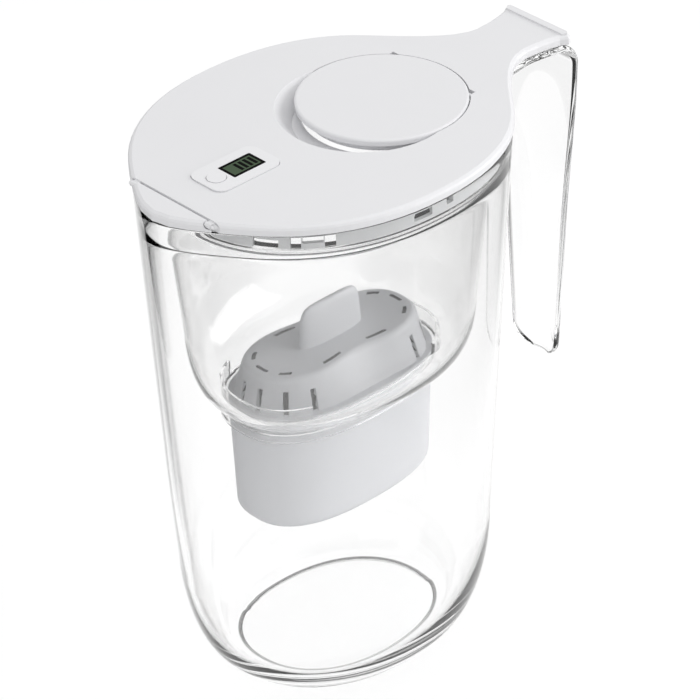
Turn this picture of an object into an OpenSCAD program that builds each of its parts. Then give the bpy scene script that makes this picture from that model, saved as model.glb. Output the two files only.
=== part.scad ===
// Water filter pitcher with a flip lid: clear jug, hanging reservoir, drop-in
// cartridge, lid with a hinged filling disc, a spout flap and a change timer.
// Millimetres, +Z up, spout towards -X, handle towards +X, table at z = 0.

/* [Jug] */
// Length of the jug's mouth, front to back, without the spout
jug_len = 175; // [168:1:185]
// Width of the jug's mouth
jug_wid = 152; // [144:1:160]
// Height of the jug's rim above the table
jug_h = 268; // [255:1:285]
// Lean of the jug's wall, in degrees
jug_draft = 3; // [2:0.1:3.6]
// Thickness of the jug's wall below the reservoir ledge
jug_wall = 2.8; // [2.6:0.1:3.4]
// Thickness of the jug's wall above the reservoir ledge
rim_wall = 1.6; // [1.4:0.1:1.8]
// Height of the rounded corner at the bottom
corner_v = 60; // [48:1:70]
// How far the rounded corner comes in at the bottom
corner_h = 23; // [18:0.5:26]
// Width of the ring the jug stands on
foot_w = 2.5; // [2:0.5:4]
// Depth of the hollow under the base
foot_h = 2.2; // [1.5:0.1:3]
// How far the spout stands out of the mouth
spout_reach = 13; // [11:0.5:15]
// Breadth of the spout, as an angle from its ridge
spout_angle = 10.5; // [9:0.5:12]
// Height at which the spout's keel has its full depth
spout_full_z = 125; // [110:5:150]

/* [Handle] */
// Reach of the grip's inner face behind the middle of the jug
grip_x = 132.5; // [128:0.5:140]
// Half width of the handle at the top of the grip
handle_w_top = 22; // [21:0.5:24]
// Half width of the handle at its lower end
handle_w_end = 13.5; // [12:0.5:16]
// How far the clear plate under the lid's tail stands out at its sides
plate_out = 0.5; // [0.3:0.1:0.8]
// How far the grip's top stands further back than its lower part
grip_flare = 4; // [2:0.5:5]
// Thickness of the handle's wall
handle_t = 3.8; // [3.2:0.1:4.4]
// How far the grip bulges backwards at its middle
grip_bow = 5; // [3:0.5:6]
// Outer radius of the bend at the top
bend_r = 9.5; // [8:0.5:12]
// Height of the handle's open lower end above the table
grip_end_z = 90; // [75:1:120]

/* [Reservoir] */
// Height of the reservoir's rim lip
lip_h = 4; // [3:0.5:5]
// Depth from the jug's rim down to the ledge the reservoir hangs on
ledge_depth = 12.5; // [12:0.5:15]
// Gap between the bowl's wall and the jug's wall at the ledge
bowl_gap = 5.2; // [4:0.2:7]
// Lean of the bowl's wall, in degrees
bowl_draft = 6; // [5:0.2:7]
// Thickness of the reservoir's wall
bowl_wall = 1.8; // [1.4:0.1:2.2]
// Height of the dished floor of the bowl, from the collar up to the wall
dish_h = 34; // [26:1:40]
// Height of the bowl's upright guards at the ends of the cartridge
guard_h = 9; // [6:1:14]

/* [Cartridge] */
// Length of the cartridge cup at its top
cup_len = 106; // [100:1:108]
// Width of the cartridge cup at its top
cup_wid = 61.5; // [58:0.5:64]
// Depth of the cup below its flange
cup_h = 55.5; // [48:0.5:62]
// Lean of the cup's wall, in degrees
cup_draft = 1.9; // [1.2:0.1:2.4]
// Thickness of the cup's wall
cup_wall = 1.6; // [1.4:0.1:2]
// Height of the cartridge's flange above the table
flange_z = 141; // [136:1:150]
// How far the flange stands out of the cup
flange_w = 1; // [0.8:0.1:1.4]
// Height of the cartridge's cap from the flange to its deck
cap_h = 22; // [18:1:26]
// Height of the pull tab above the deck
tab_h = 20; // [16:1:24]
// Width of the pull tab
tab_w = 37; // [30:1:40]
// Depth of the cup's space left free above the filter medium
media_gap = 6; // [4:0.5:12]

/* [Lid] */
// Height of the lid's edge
lid_h = 4.8; // [4.6:0.1:6]
// Thickness of the lid's top
lid_t = 2.2; // [2:0.1:2.4]
// How far the lid stands out over the jug's rim
lid_over = 0.6; // [0.2:0.1:1]
// Thickness of the wall round the lid's edge
lid_edge_t = 2.2; // [2:0.1:2.5]
// Half width of the lid's tail at its waist
waist_w = 15.8; // [14.5:0.1:17]
// Half width of the lid's tail at its end
tail_w = 20.5; // [19:0.1:21]
// Length of the tail behind the jug's mouth
tail_len = 50; // [46:0.5:52]
// Height of the raised lip at the tail's end
tail_lip = 0.9; // [0.5:0.1:1.2]
// How far the seam behind the spout flap lies before the front of the jug's plain oval
flap_out = 0.5; // [-1.5:0.25:2.5]
// From the end of the seam in to the middle of the tongue that carries the flap
tongue_in = 1.6; // [1.2:0.1:3]
// Thickness of the lid's inner skirt
skirt_t = 1.8; // [1.4:0.1:2.2]

/* [Flip disc] */
// Distance from the middle of the jug back to the middle of the disc
disc_x = 35.5; // [34:0.5:37]
// Radius of the disc
disc_r = 39.2; // [37:0.2:40]
// Thickness of the disc
disc_t = 3.2; // [2.8:0.1:3.4]
// How far the disc stands above the lid
disc_proud = 0.6; // [0.3:0.1:0.8]
// Gap round the disc
disc_gap = 0.6; // [0.5:0.05:0.8]
// Rounding of the disc's upper edge
disc_round = 1.2; // [1:0.1:1.4]
// Distance of the disc's hinge from its rear edge
hinge_in = 8.7; // [8.4:0.1:9.2]
// Radius of the finger recess in front of the disc
scoop_r = 40.3; // [38:0.1:41]
// How far the recess lies in front of the disc's middle
scoop_shift = 11; // [9:0.5:13]
// Depth of the finger recess
scoop_depth = 8; // [6:0.5:9]
// Radius of the hinge stubs of the disc and of the spout flap
stub_r = 0.8; // [0.7:0.05:0.85]

/* [Timer] */
// Distance from the middle of the jug forward to the middle of the timer
timer_x = 52.5; // [50:0.5:54]
// Length of the timer's bezel
bezel_len = 37.5; // [36:0.5:40]
// Width of the timer's bezel
bezel_wid = 22; // [21:0.5:24]
// Length of the display window
lcd_len = 18.6; // [16:0.2:20]
// Width of the display window
lcd_wid = 11.4; // [9:0.2:12]
// Radius of the reset button
button_r = 4.4; // [3:0.1:4.5]
// Travel of the reset button
button_travel = 0.5; // [0.3:0.1:0.6]
// Diameter of the coin cell
cell_d = 16; // [12:0.5:16]
// Thickness of the coin cell
cell_t = 3.2; // [1.6:0.2:3.2]

/* [Clearances] */
// Gap at the seats of the lid, the reservoir and the cartridge
seat = 0.2; // [0.1:0.05:0.3]
// Gap round the reservoir, the skirt and the cartridge
slide_gap = 0.4; // [0.3:0.05:0.5]
// Radial running clearance of the hinge stubs
run_gap = 0.06; // [0.04:0.01:0.08]

/* [Hidden] */
eps = 0.01;
sides = 72;          // points round the large ovals
cup_sides = 48;      // points round the cartridge
jug_n = 2.15;        // how square the jug's oval is: 2 is an ellipse
cup_n = 2.5;         // how square the cartridge's oval is

lid_bottom = jug_h + seat;
lid_top = lid_bottom + lid_h;
ledge_z = jug_h - ledge_depth;
res_z = ledge_z + seat;              // underside of the reservoir's rim
res_top = res_z + lip_h;
rear_x = grip_x + handle_t + max(grip_bow, grip_flare);
front_x = jug_len / 2 + spout_reach + lid_over;
axis_x = (front_x - rear_x) / 2;     // puts the origin under the middle of the whole object

// --- shapes -------------------------------------------------------------
function signed_pow(v, p) = sign(v) * pow(abs(v), p);
function oval_pt(a, b, n, t) = [a * signed_pow(cos(t), 2 / n), b * signed_pow(sin(t), 2 / n)];
function oval(a, b, n, k) = [for (i = [0:k - 1]) oval_pt(a, b, n, 360 * i / k)];
function sech(v) = 2 / (exp(v) + exp(-v));
// a point of the mouth: the oval pushed out along its radius, most at the spout's ridge
function spouted(p, reach) = p * (1 + reach * sech(atan2(abs(p.y), -p.x) / spout_angle) / norm(p));
function mouth(a, b, reach) = [for (p = oval(a, b, jug_n, sides)) spouted(p, reach)];
function at_z(pts, z) = [for (p = pts) [p.x, p.y, z]];
// outward normal of a closed anticlockwise outline at point i
function normal_at(pts, i) =
    let (k = len(pts), d = pts[(i + 1) % k] - pts[(i + k - 1) % k])
    [d.y, -d.x] / norm(d);
function inset(pts, d) = [for (i = [0:len(pts) - 1]) pts[i] - normal_at(pts, i) * d];
function bezier(p0, p1, p2, p3, t) =
    p0 * pow(1 - t, 3) + p1 * 3 * t * pow(1 - t, 2) + p2 * 3 * t * t * (1 - t) + p3 * pow(t, 3);

// a flat end: rungs between the point i and the point as far from the ring's other end
function rungs(k) = [for (i = [0:ceil(k / 2) - 2])
    each concat([[i, i + 1, k - 1 - i]], i + 1 < k - 2 - i ? [[i + 1, k - 2 - i, k - 1 - i]] : [])];
// Skin over a stack of rings with equal numbers of points: closed at both ends,
// or, with loop, from the last ring back to the first.
module stack(rings, loop = false) {
    k = len(rings[0]);
    m = len(rings);
    walls = [for (i = [0:m - (loop ? 1 : 2)]) for (j = [0:k - 1])
        let (a = i * k + j, b = i * k + (j + 1) % k, c = ((i + 1) % m) * k)
        each [[a, c + j, c + (j + 1) % k], [a, c + (j + 1) % k, b]]];
    ends = loop ? [] : concat(rungs(k), [for (f = rungs(k)) [for (j = [2:-1:0]) (m - 1) * k + f[j]]]);
    polyhedron(points = [for (r = rings) each r], faces = concat(walls, ends), convexity = 8);
}
module prism(pts, z0, z1) translate([0, 0, z0]) linear_extrude(z1 - z0) polygon(pts);
module disc_at(x, r, z0, z1) translate([x, 0, z0]) cylinder(r = r, h = z1 - z0, $fn = 128);
module slab(x0, x1, w, z0, z1) translate([x0, -w / 2, z0]) cube([x1 - x0, w, z1 - z0]);
// a bar along Y from y0 to y1
module bar(x, z, r, y0, y1)
    translate([x, y0, z]) rotate([-90, 0, 0]) cylinder(r = r, h = y1 - y0, $fn = 48);
module both_sides() { children(); mirror([0, 1, 0]) children(); }
module round_rect(l, w, r, z0, z1) translate([0, 0, z0]) linear_extrude(z1 - z0)
    polygon([for (c = [[1, 1, 0], [-1, 1, 90], [-1, -1, 180], [1, -1, 270]]) for (i = [0:4])
        [c.x * (l / 2 - r) + r * cos(c.z + i * 22.5), c.y * (w / 2 - r) + r * sin(c.z + i * 22.5)]]);
module in_frame() translate([axis_x, 0, 0]) children();

// --- jug ----------------------------------------------------------------
function lean(z) = (jug_h - z) * tan(jug_draft);
function jug_a(z) = jug_len / 2 - lean(z);
function jug_b(z) = jug_wid / 2 - lean(z);
function reach(z) = let (u = min(1, z / spout_full_z)) spout_reach * u * (2 - u);
function jug_ring(z, off) = at_z(mouth(jug_a(z) - off, jug_b(z) - off, reach(z)), z);
corner_steps = 7;
// ring of the rounded corner at step i, with the wall's thickness taken off and the floor's added
function corner_ring(i, off, floor) =
    let (t = 90 * i / corner_steps, z = floor + (corner_v - floor) * (1 - cos(t)),
         in = off + corner_h * (1 - sin(t)))
    at_z(mouth(jug_a(corner_v) - in, jug_b(corner_v) - in, reach(z)), z);
function wall_heights() = [for (i = [1:5]) corner_v + (ledge_z - corner_v) * i / 5];
module jug_shell() color("azure", 0.4) in_frame() stack(concat(
    [for (ring = [[foot_w + 1, foot_h], [foot_w, 0]])
        at_z(mouth(jug_a(corner_v) - corner_h - ring[0], jug_b(corner_v) - corner_h - ring[0], 0), ring[1])],
    [for (i = [0:corner_steps]) corner_ring(i, 0, 0)],
    [for (z = wall_heights()) jug_ring(z, 0)],
    [jug_ring(jug_h, 0), jug_ring(jug_h, rim_wall), jug_ring(ledge_z, rim_wall)],
    [for (z = [for (i = [4:-1:0]) wall_heights()[i]]) jug_ring(z, jug_wall)],
    [for (i = [corner_steps:-1:0]) corner_ring(i, jug_wall, foot_h + jug_wall)]));
// the jug's outside as a solid, for cutting the handle's root to the wall
module jug_block() stack(concat(
    [for (z = [for (i = [0:4]) wall_heights()[i]]) jug_ring(z, 0)],
    [jug_ring(jug_h, 0), jug_ring(jug_h + 20, 0)]));

// --- handle -------------------------------------------------------------
handle_top = jug_h;
root_x = jug_len / 2 - 6;
haunch_t = 7;                         // depth of the handle where it meets the jug
bend_x = grip_x + handle_t + grip_flare - bend_r;
// half width of the lid's tail at x
tail_x = jug_len / 2 + tail_len;
waist_x = jug_len / 2 + 24;
function tail_half(x) = waist_w + (tail_w - waist_w) * pow(max(0, (x - waist_x) / (tail_x - waist_x)), 2);
plate_end_w = tail_half(bend_x) + plate_out;
// stations along the handle: x and z of the outer edge, the direction its outside faces, thickness,
// half width, bulge, and the share of its full width that is left at the rounded lower end
function top_station(u) =
    let (s = u * u * (3 - 2 * u), x = root_x + (bend_x - root_x) * u)
    [x, handle_top, 90, haunch_t + (handle_t - haunch_t) * min(1, s * 1.4), tail_half(x) + plate_out, 0, 1];
function bend_station(u) =
    [bend_x + bend_r * sin(90 * u), handle_top - bend_r * (1 - cos(90 * u)), 90 * (1 - u), handle_t,
     plate_end_w + (handle_w_top - plate_end_w) * u, 0, 1];
grip_top_z = handle_top - bend_r;
flare_z = grip_end_z + 78;            // where the grip starts to stand out and its bulge to fade
end_round = 12;
function flare_at(z) = let (f = max(0, min(1, (z - flare_z) / (grip_top_z - flare_z)))) f * f * (3 - 2 * f);
function grip_station(u) =
    let (z = grip_top_z + (grip_end_z - grip_top_z) * u,
         w = handle_w_top + (handle_w_end - handle_w_top) * pow(u, 1.5),
         e = max(0, 1 - (z - grip_end_z) / end_round), f = flare_at(z), left = sqrt(1 - 0.9 * e * e))
    [grip_x + handle_t + grip_flare * f, z, 0, handle_t, w * left, grip_bow * (1 - f), left];
stations = concat(
    [for (u = [0, 0.15, 0.3, 0.45, 0.6, 0.8]) top_station(u)],
    [for (u = [0:0.2:0.8]) bend_station(u)],
    [for (u = [0, 0.08, 0.16, 0.24, 0.33, 0.42, 0.55, 0.7, 0.82, 0.9, 0.94, 0.965, 0.985, 1]) grip_station(u)]);
across = [-1, -0.94, -0.75, -0.5, -0.25, 0, 0.25, 0.5, 0.75, 0.94, 1];
function handle_pt(st, v, depth) =
    let (edge = abs(v) == 1 ? 0.5 * st[3] - 0.6 : 0, inner = depth ? st[3] - edge : edge,
         d = st[5] * (1 - pow(v * st[6], 2)) - inner)
    [st[0] + d * cos(st[2]), -v * st[4], st[1] + d * sin(st[2])];
function handle_ring(st) = concat(
    [for (v = across) handle_pt(st, v, false)],
    [for (i = [len(across) - 1:-1:0]) handle_pt(st, across[i], true)]);
module jug_handle() color("azure", 0.4) in_frame() difference() {
    stack([for (st = stations) handle_ring(st)]);
    jug_block();
}

// --- reservoir ----------------------------------------------------------
collar_wall = 2.1;
collar_drop = 4;                      // how far the collar reaches below the cartridge's flange
collar_rise = 5;                      // from the seat up to where the dished floor starts
seat_a = cup_len / 2 + flange_w + slide_gap;
seat_b = cup_wid / 2 + flange_w + slide_gap;
seat_z = flange_z - seat;
dish_z = seat_z + collar_rise;
dish_steps = 6;
bowl_a = jug_a(ledge_z) - jug_wall - bowl_gap;
bowl_b = jug_b(ledge_z) - jug_wall - bowl_gap;
function bowl_oval(z, off) =
    let (d = (res_z - z) * tan(bowl_draft) + off) oval(bowl_a - d, bowl_b - d, jug_n, sides);
function seat_oval(off) = oval(seat_a + off, seat_b + off, cup_n, sides);
// the dished floor: a quarter of an ellipse from the wall's foot in to the collar
function dish_ring(i, off, lift) =
    let (t = 90 * i / dish_steps, w = bowl_oval(dish_z + dish_h, off), c = seat_oval(collar_wall - off))
    at_z([for (j = [0:sides - 1]) c[j] + (w[j] - c[j]) * sin(t)],
        dish_z + lift + (dish_h - lift) * (1 - cos(t)));
function rim_ring(z, off) = let (d = rim_wall + slide_gap + off)
    at_z(oval(jug_a(z) - d, jug_b(z) - d, jug_n, sides), z);
module guard() intersection() {
    difference() {
        prism(seat_oval(1.9), dish_z - 1.5, dish_z + guard_h);
        prism(seat_oval(0.3), dish_z - 2, dish_z + guard_h + 1);
    }
    slab(seat_a - 14, seat_a + 5, 2 * seat_b, dish_z - 2, dish_z + guard_h);
}
module reservoir() color("azure", 0.5) in_frame() {
    stack(concat(
        [at_z(seat_oval(collar_wall), seat_z - collar_drop)],
        [for (i = [0:dish_steps]) dish_ring(i, 0, 0)],
        [at_z(bowl_oval(res_z, 0), res_z)],
        [rim_ring(res_z, 0), rim_ring(res_top, 0)],
        [rim_ring(res_top, bowl_wall), rim_ring(res_z + bowl_wall, bowl_wall)],
        [at_z(bowl_oval(res_z + bowl_wall, bowl_wall), res_z + bowl_wall)],
        [for (i = [dish_steps:-1:1]) dish_ring(i, bowl_wall, bowl_wall)],
        [for (z = [dish_z + bowl_wall, seat_z]) at_z(seat_oval(0), z)],
        [for (z = [seat_z, seat_z - collar_drop]) at_z(seat_oval(slide_gap - flange_w), z)]), loop = true);
    guard();
    mirror([1, 0, 0]) guard();
}

// --- cartridge ----------------------------------------------------------
cup_bottom = flange_z - cup_h;
cup_round = 3.5;
flange_t = 2.4;
cap_base = flange_z + flange_t;
deck_z = cap_base + cap_h;
function cup_oval(z, off) =
    let (d = (flange_z - z) * tan(cup_draft) + slide_gap + off)
    oval(cup_len / 2 - d, cup_wid / 2 - d, cup_n, cup_sides);
function cup_ring(z, off) = at_z(cup_oval(z, off), z);
drain_w = 2.4;                        // slots in the cup's floor
drain_step = 15;
module cup_slots() for (i = [-2:2]) translate([i * drain_step - drain_w / 2, -cup_wid / 4, cup_bottom - 1])
    cube([drain_w, cup_wid / 2, cup_wall + 2]);
module cartridge_cup() color("gainsboro") in_frame() difference() {
    stack([cup_ring(cup_bottom, cup_round * 0.9), cup_ring(cup_bottom + 1, cup_round * 0.3),
        cup_ring(cup_bottom + cup_round, 0), cup_ring(flange_z, 0), cup_ring(flange_z, -flange_w),
        cup_ring(cap_base, -flange_w), cup_ring(cap_base, cup_wall), cup_ring(cup_bottom + cup_round, cup_wall),
        cup_ring(cup_bottom + cup_wall, cup_wall + cup_round * 0.6)]);
    cup_slots();
}
cap_wall = 1.6;
cap_in = 1.6;                         // from the cup's outside in to the foot of the cap's wall
cap_taper_x = 5;                      // how much the cap draws in towards its deck, at its ends
cap_taper_y = 6.5;                    // and at its sides
cap_waist = 0.2;                      // how far it waists in at its middle, as a share of its half width
cap_waist_x = 17;                     // half length of that waist
function cap_ring(z, off) =
    let (u = (z - cap_base) / cap_h, a = cup_len / 2 - cap_in - cap_taper_x * u - off,
         b = cup_wid / 2 - cap_in - cap_taper_y * u - off)
    at_z([for (p = oval(a, b, cup_n, cup_sides))
        [p.x, p.y * (1 - cap_waist * u * exp(-pow(p.x / cap_waist_x, 2)))]], z);
tab_t = 8.5;
tab_n = 2.6;
// ring of the pull tab, a share u of the way up: a lens that rounds off towards its top
function tab_ring(u) = let (e = pow(max(0, u), 5))
    at_z(oval(tab_w / 2 * (1 - 0.07 * u - 0.27 * e), tab_t / 2 * (1 - 0.3 * u - 0.5 * e), tab_n, 32),
        deck_z + tab_h * u);
module tab() stack([for (u = [-0.04, 0.25, 0.5, 0.68, 0.8, 0.9, 0.96, 1]) tab_ring(u)]);
slot_w = 2.2;
slot_h = 11;
slot_deep = 6;
slot_foot = 4.5;                      // from the flange up to the slots
slot_in = 3;                          // from the cup's outside in to the slots' middles
// slots through the cap's ends: angles round the oval
module end_slots() for (s = [0, 180]) for (t = [-57, -34, -7, 7, 34, 57])
    let (p = oval_pt(cup_len / 2 - slot_in, cup_wid / 2 - slot_in, cup_n, t + s),
         q = oval_pt(cup_wid / 2, cup_len / 2, cup_n, t + s))
    translate([p.x, p.y, cap_base + slot_foot]) rotate([0, 0, atan2(q.y, q.x)])
    translate([-slot_deep, -slot_w / 2, 0]) cube([2 * slot_deep, slot_w, slot_h]);
arc_in = 4;                           // from the deck's edge in to its arcs
arc_w = 1.4;
function deck_pt(off, i) = let (p = cap_ring(deck_z, off)[(i + cup_sides) % cup_sides]) [p.x, p.y];
// one arc through the deck along its edge, between the points i0 and i1 of its outline
module deck_arc(i0, i1) prism(concat([for (i = [i0:i1]) deck_pt(arc_in, i)],
    [for (i = [i1:-1:i0]) deck_pt(arc_in + arc_w, i)]), deck_z - cap_wall - 1, deck_z + 1);
module deck_arcs() for (s = [0, 180]) rotate([0, 0, s]) {
    deck_arc(-1, 1);
    both_sides() deck_arc(3, 5);
    both_sides() deck_arc(9, 11);
}
module cartridge_cap() color("silver") in_frame() difference() {
    union() {
        difference() {
            union() {
                stack([for (u = [0, 0.25, 0.5, 0.75, 0.93]) cap_ring(cap_base + 4 + (cap_h - 4) * u, 0)]);
                stack([cap_ring(deck_z - 1.26, 0), cap_ring(deck_z, 1.4)]);
                prism(cup_oval(flange_z, -flange_w * 0.6), cap_base, cap_base + 4);
            }
            stack([for (u = [-0.1, 0, 0.25, 0.5, 0.75, 1]) cap_ring(cap_base + (cap_h - cap_wall) * u, cap_wall)]);
        }
        tab();
    }
    end_slots();
    deck_arcs();
}
screen_t = 0.6;
fill_gap = 0.2;                       // between the filling and the cup's wall
media_top = cap_base - media_gap;
media_bottom = cup_bottom + cup_wall + screen_t + 0.1;
module inlet_screen() color("white") in_frame()
    prism(cup_oval(media_top, cup_wall + fill_gap), media_top + 0.1, media_top + 0.1 + screen_t);
module filter_medium() color("dimgray") in_frame() stack([
    cup_ring(media_bottom, cup_wall + cup_round * 0.6 + fill_gap),
    cup_ring(cup_bottom + cup_round + 1, cup_wall + fill_gap), cup_ring(media_top, cup_wall + fill_gap)]);
module outlet_screen() color("white") in_frame()
    prism(cup_oval(cup_bottom, cup_wall + cup_round * 0.6 + fill_gap),
        cup_bottom + cup_wall + 0.05, cup_bottom + cup_wall + 0.05 + screen_t);

// --- lid ----------------------------------------------------------------
corner_r = 3;
join_t = 40;                          // where the mouth's oval turns into the tail, in degrees round the oval
join_reach = 15;                      // how far the curve between the two runs on in its first direction
oval_a = jug_len / 2 + lid_over;
oval_b = jug_wid / 2 + lid_over;
join_p = oval_pt(oval_a, oval_b, jug_n, join_t);
join_d = let (d = oval_pt(oval_a, oval_b, jug_n, join_t - 1) - join_p) d / norm(d);
waist_p = [waist_x, waist_w];
// one side of the tail, from its end back to the mouth
tail_side = concat(
    [for (t = [0:30:90]) [tail_x - corner_r + corner_r * cos(t), tail_w - corner_r + corner_r * sin(t)]],
    [for (u = [0.75, 0.55, 0.3]) let (x = waist_x + (tail_x - waist_x) * u) [x, tail_half(x)]],
    [for (i = [0:7])
        bezier(waist_p, waist_p - [join_reach, 0], join_p + join_d * join_reach, join_p, i / 8)]);
mouth_pts = mouth(oval_a, oval_b, spout_reach);
lid_outline = concat(
    tail_side,
    [for (i = [ceil(join_t * sides / 360):floor((360 - join_t) * sides / 360)]) mouth_pts[i]],
    [for (i = [len(tail_side) - 1:-1:0]) [tail_side[i].x, -tail_side[i].y]]);
edge_round = 1.8;
module lid_block() stack([
    for (r = [[0.3, 0], [0, 0.5], [0, lid_h - edge_round], [0.3 * edge_round, lid_h - 0.45 * edge_round],
        [edge_round, lid_h]])
    at_z(inset(lid_outline, r[0]), lid_bottom + r[1])]);
plate_z = lid_top - lid_t;            // underside of the lid's top
knuckle_r = 1.7;                      // round edge of the flap, on its hinge line
knuckle_z = lid_top - knuckle_r;
flap_x = jug_len / 2 + flap_out;
knuckle_x = -flap_x - knuckle_r;
cover_front = -flap_x + slide_gap;
// half width of the lid on the flap's hinge line: where the outline's sides cross it
seam_half = max([for (i = [0:len(lid_outline) - 1])
    let (a = lid_outline[i], b = lid_outline[(i + 1) % len(lid_outline)])
    if ((a.x - knuckle_x) * (b.x - knuckle_x) <= 0 && a.x != b.x)
        abs(a.y + (b.y - a.y) * (knuckle_x - a.x) / (b.x - a.x))]);
tongue_y = seam_half - tongue_in;
tongue_w = 3.4;
tongue_r = 1.3;
tongue_gap = 0.3;
hinge_x = disc_x + disc_r - hinge_in;
hinge_z = lid_top - stub_r - run_gap - 0.45; // leaves a skin of 0.45 over the stubs
hinge_clear = 2.5;                    // room for the disc's faces to turn in, beside the hinge
disc_hole = disc_r + disc_gap;
ledge_r = disc_r - 2.7;
disc_bottom = lid_top + disc_proud - disc_t;
ledge_top = disc_bottom - seat;
scoop_x = disc_x - scoop_shift;
scoop_floor = lid_top - scoop_depth;
scoop_wall = 1.8;
stub_y = sqrt(pow(disc_r, 2) - pow(disc_r - hinge_in, 2)); // where the disc's edge crosses its hinge line
boss_y = stub_y + 1.9;
boss_w = 4.6;
// the raised lip across the tail's end
module tail_ridge() intersection() {
    prism(inset(lid_outline, edge_round * 0.8), lid_top - 1, lid_top + tail_lip);
    slab(tail_x - 5, tail_x, 2 * tail_w, lid_top - 1, lid_top + tail_lip + 1);
}
module lid_cover() color("whitesmoke") in_frame() difference() {
    union() {
        difference() {
            lid_block();
            prism(inset(lid_outline, lid_edge_t), lid_bottom - 1, plate_z);
            slab(-front_x - 5, cover_front, jug_wid, lid_bottom - 1, lid_top + 1);
        }
        // wall along the seam
        intersection() {
            slab(cover_front, cover_front + lid_edge_t, jug_wid, lid_bottom, plate_z + 0.5);
            prism(inset(lid_outline, lid_edge_t / 2), lid_bottom, lid_top);
        }
        tail_ridge();
        // ring that carries the disc, and the finger recess in front of it
        disc_at(disc_x, disc_hole + 2, lid_bottom, plate_z + 0.5);
        translate([scoop_x, 0, scoop_floor - scoop_wall]) cylinder(r1 = scoop_r - scoop_depth + scoop_wall * 0.4,
            r2 = scoop_r + scoop_wall * 0.4 + 1, h = scoop_depth + scoop_wall - 0.5, $fn = 128);
        both_sides() translate([hinge_x - 3, boss_y, lid_bottom]) cube([6, boss_w, plate_z - lid_bottom + 0.5]);
        // tongues that carry the spout flap
        both_sides() {
            bar(knuckle_x, knuckle_z, tongue_r, tongue_y - tongue_w / 2, tongue_y + tongue_w / 2);
            translate([knuckle_x, tongue_y - tongue_w / 2, knuckle_z - 1])
                cube([cover_front - knuckle_x + 1, tongue_w, 2]);
        }
    }
    both_sides() bar(knuckle_x, knuckle_z, stub_r + run_gap, tongue_y - tongue_w, tongue_y + tongue_w);
    disc_at(disc_x, ledge_r, scoop_floor - scoop_depth, lid_top + 1);
    disc_at(disc_x, disc_hole, ledge_top, lid_top + 1);
    translate([scoop_x, 0, scoop_floor])
        cylinder(r1 = scoop_r - scoop_depth, r2 = scoop_r + 2, h = scoop_depth + 2, $fn = 128);
    // the disc's rear part swings down here
    intersection() {
        disc_at(disc_x, disc_hole, lid_bottom - 1, lid_top + 1);
        slab(hinge_x - hinge_clear, hinge_x + 20, 2 * boss_y, lid_bottom - 2, lid_top + 2);
    }
    bar(hinge_x, hinge_z, hinge_clear, -boss_y, boss_y);
    both_sides() bar(hinge_x, hinge_z, stub_r + run_gap, boss_y - 1, boss_y + boss_w - 0.8);
    // timer pocket
    translate([-timer_x, 0, 0]) {
        round_rect(bezel_len + 0.4, bezel_wid + 0.4, 5, bezel_z, lid_top + 1);
        round_rect(case_len + 0.6, case_wid + 0.6, 2, lid_bottom - 1, lid_top + 1);
    }
}
function skirt_oval(off) = let (d = rim_wall + slide_gap + 0.2 + off)
    oval(jug_a(ledge_z) - d, jug_b(ledge_z) - d, jug_n, sides);
liner_top = plate_z - seat;
liner_t = 1.8;
// openings of the skirt: angle round the oval, width, foot above the skirt's lower edge, height
windows = [[138, 4.5, -1, 7], [126.8, 4.8, -1, 7], [132.4, 9, 2.6, 3.6], [148, 11, -1, 5],
    [96, 10, 1.5, 3.5], [87, 4, 2.5, 2.5]];
module skirt_windows() both_sides() for (w = windows)
    let (p = oval_pt(jug_a(ledge_z), jug_b(ledge_z), jug_n, w[0]))
    translate([p.x, p.y, res_top + seat + w[2]]) rotate([0, 0, atan2(p.y, p.x)])
    translate([-8, -w[1] / 2, 0]) cube([16, w[1], w[3]]);
module lid_liner() color("darkgray") in_frame() difference() {
    prism(skirt_oval(0), res_top + seat, liner_top);
    prism(skirt_oval(skirt_t), res_top, liner_top - liner_t);
    // clear of the seam and of the spout flap
    slab(-front_x, cover_front + lid_edge_t + 0.3, jug_wid, lid_bottom - seat, lid_top);
    disc_at(disc_x, disc_hole + 2.5, liner_top - liner_t - 1, lid_top);
    translate([scoop_x, 0, 0]) disc_at(0, scoop_r + 2.2, liner_top - liner_t - 1, lid_top);
    both_sides() translate([hinge_x - 4, boss_y - 1, lid_bottom - 1]) cube([8, boss_w + 1.5, 6]);
    translate([-timer_x, 0, 0])
        round_rect(case_len + 1.6, case_wid + 1.6, 2, liner_top - liner_t - 1, lid_top);
    skirt_windows();
}

// --- flip disc ----------------------------------------------------------
module flip_disc() color("whitesmoke") in_frame() {
    translate([disc_x, 0, disc_bottom]) rotate_extrude($fn = 128)
        polygon(concat([[0, 0], [disc_r - 0.3, 0], [disc_r, 0.3]],
            [for (t = [0:15:90]) [disc_r - disc_round + disc_round * cos(t), disc_t - disc_round + disc_round * sin(t)]],
            [[0, disc_t]]));
    both_sides() bar(hinge_x, hinge_z, stub_r, stub_y - 3, boss_y + boss_w - 1.1);
}
flip_liner_r = ledge_r - 2;
plug_t = 1.75;                        // plate of the disc's liner
plug_rim = 2.7;                       // its rim below the plate
plug_wall = 1.6;
module flip_liner() color("white") in_frame() difference() {
    disc_at(disc_x, flip_liner_r, disc_bottom - 0.05 - plug_t - plug_rim, disc_bottom - 0.05);
    disc_at(disc_x, flip_liner_r - plug_wall, disc_bottom - plug_t - plug_rim - 1, disc_bottom - 0.05 - plug_t);
}

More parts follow.
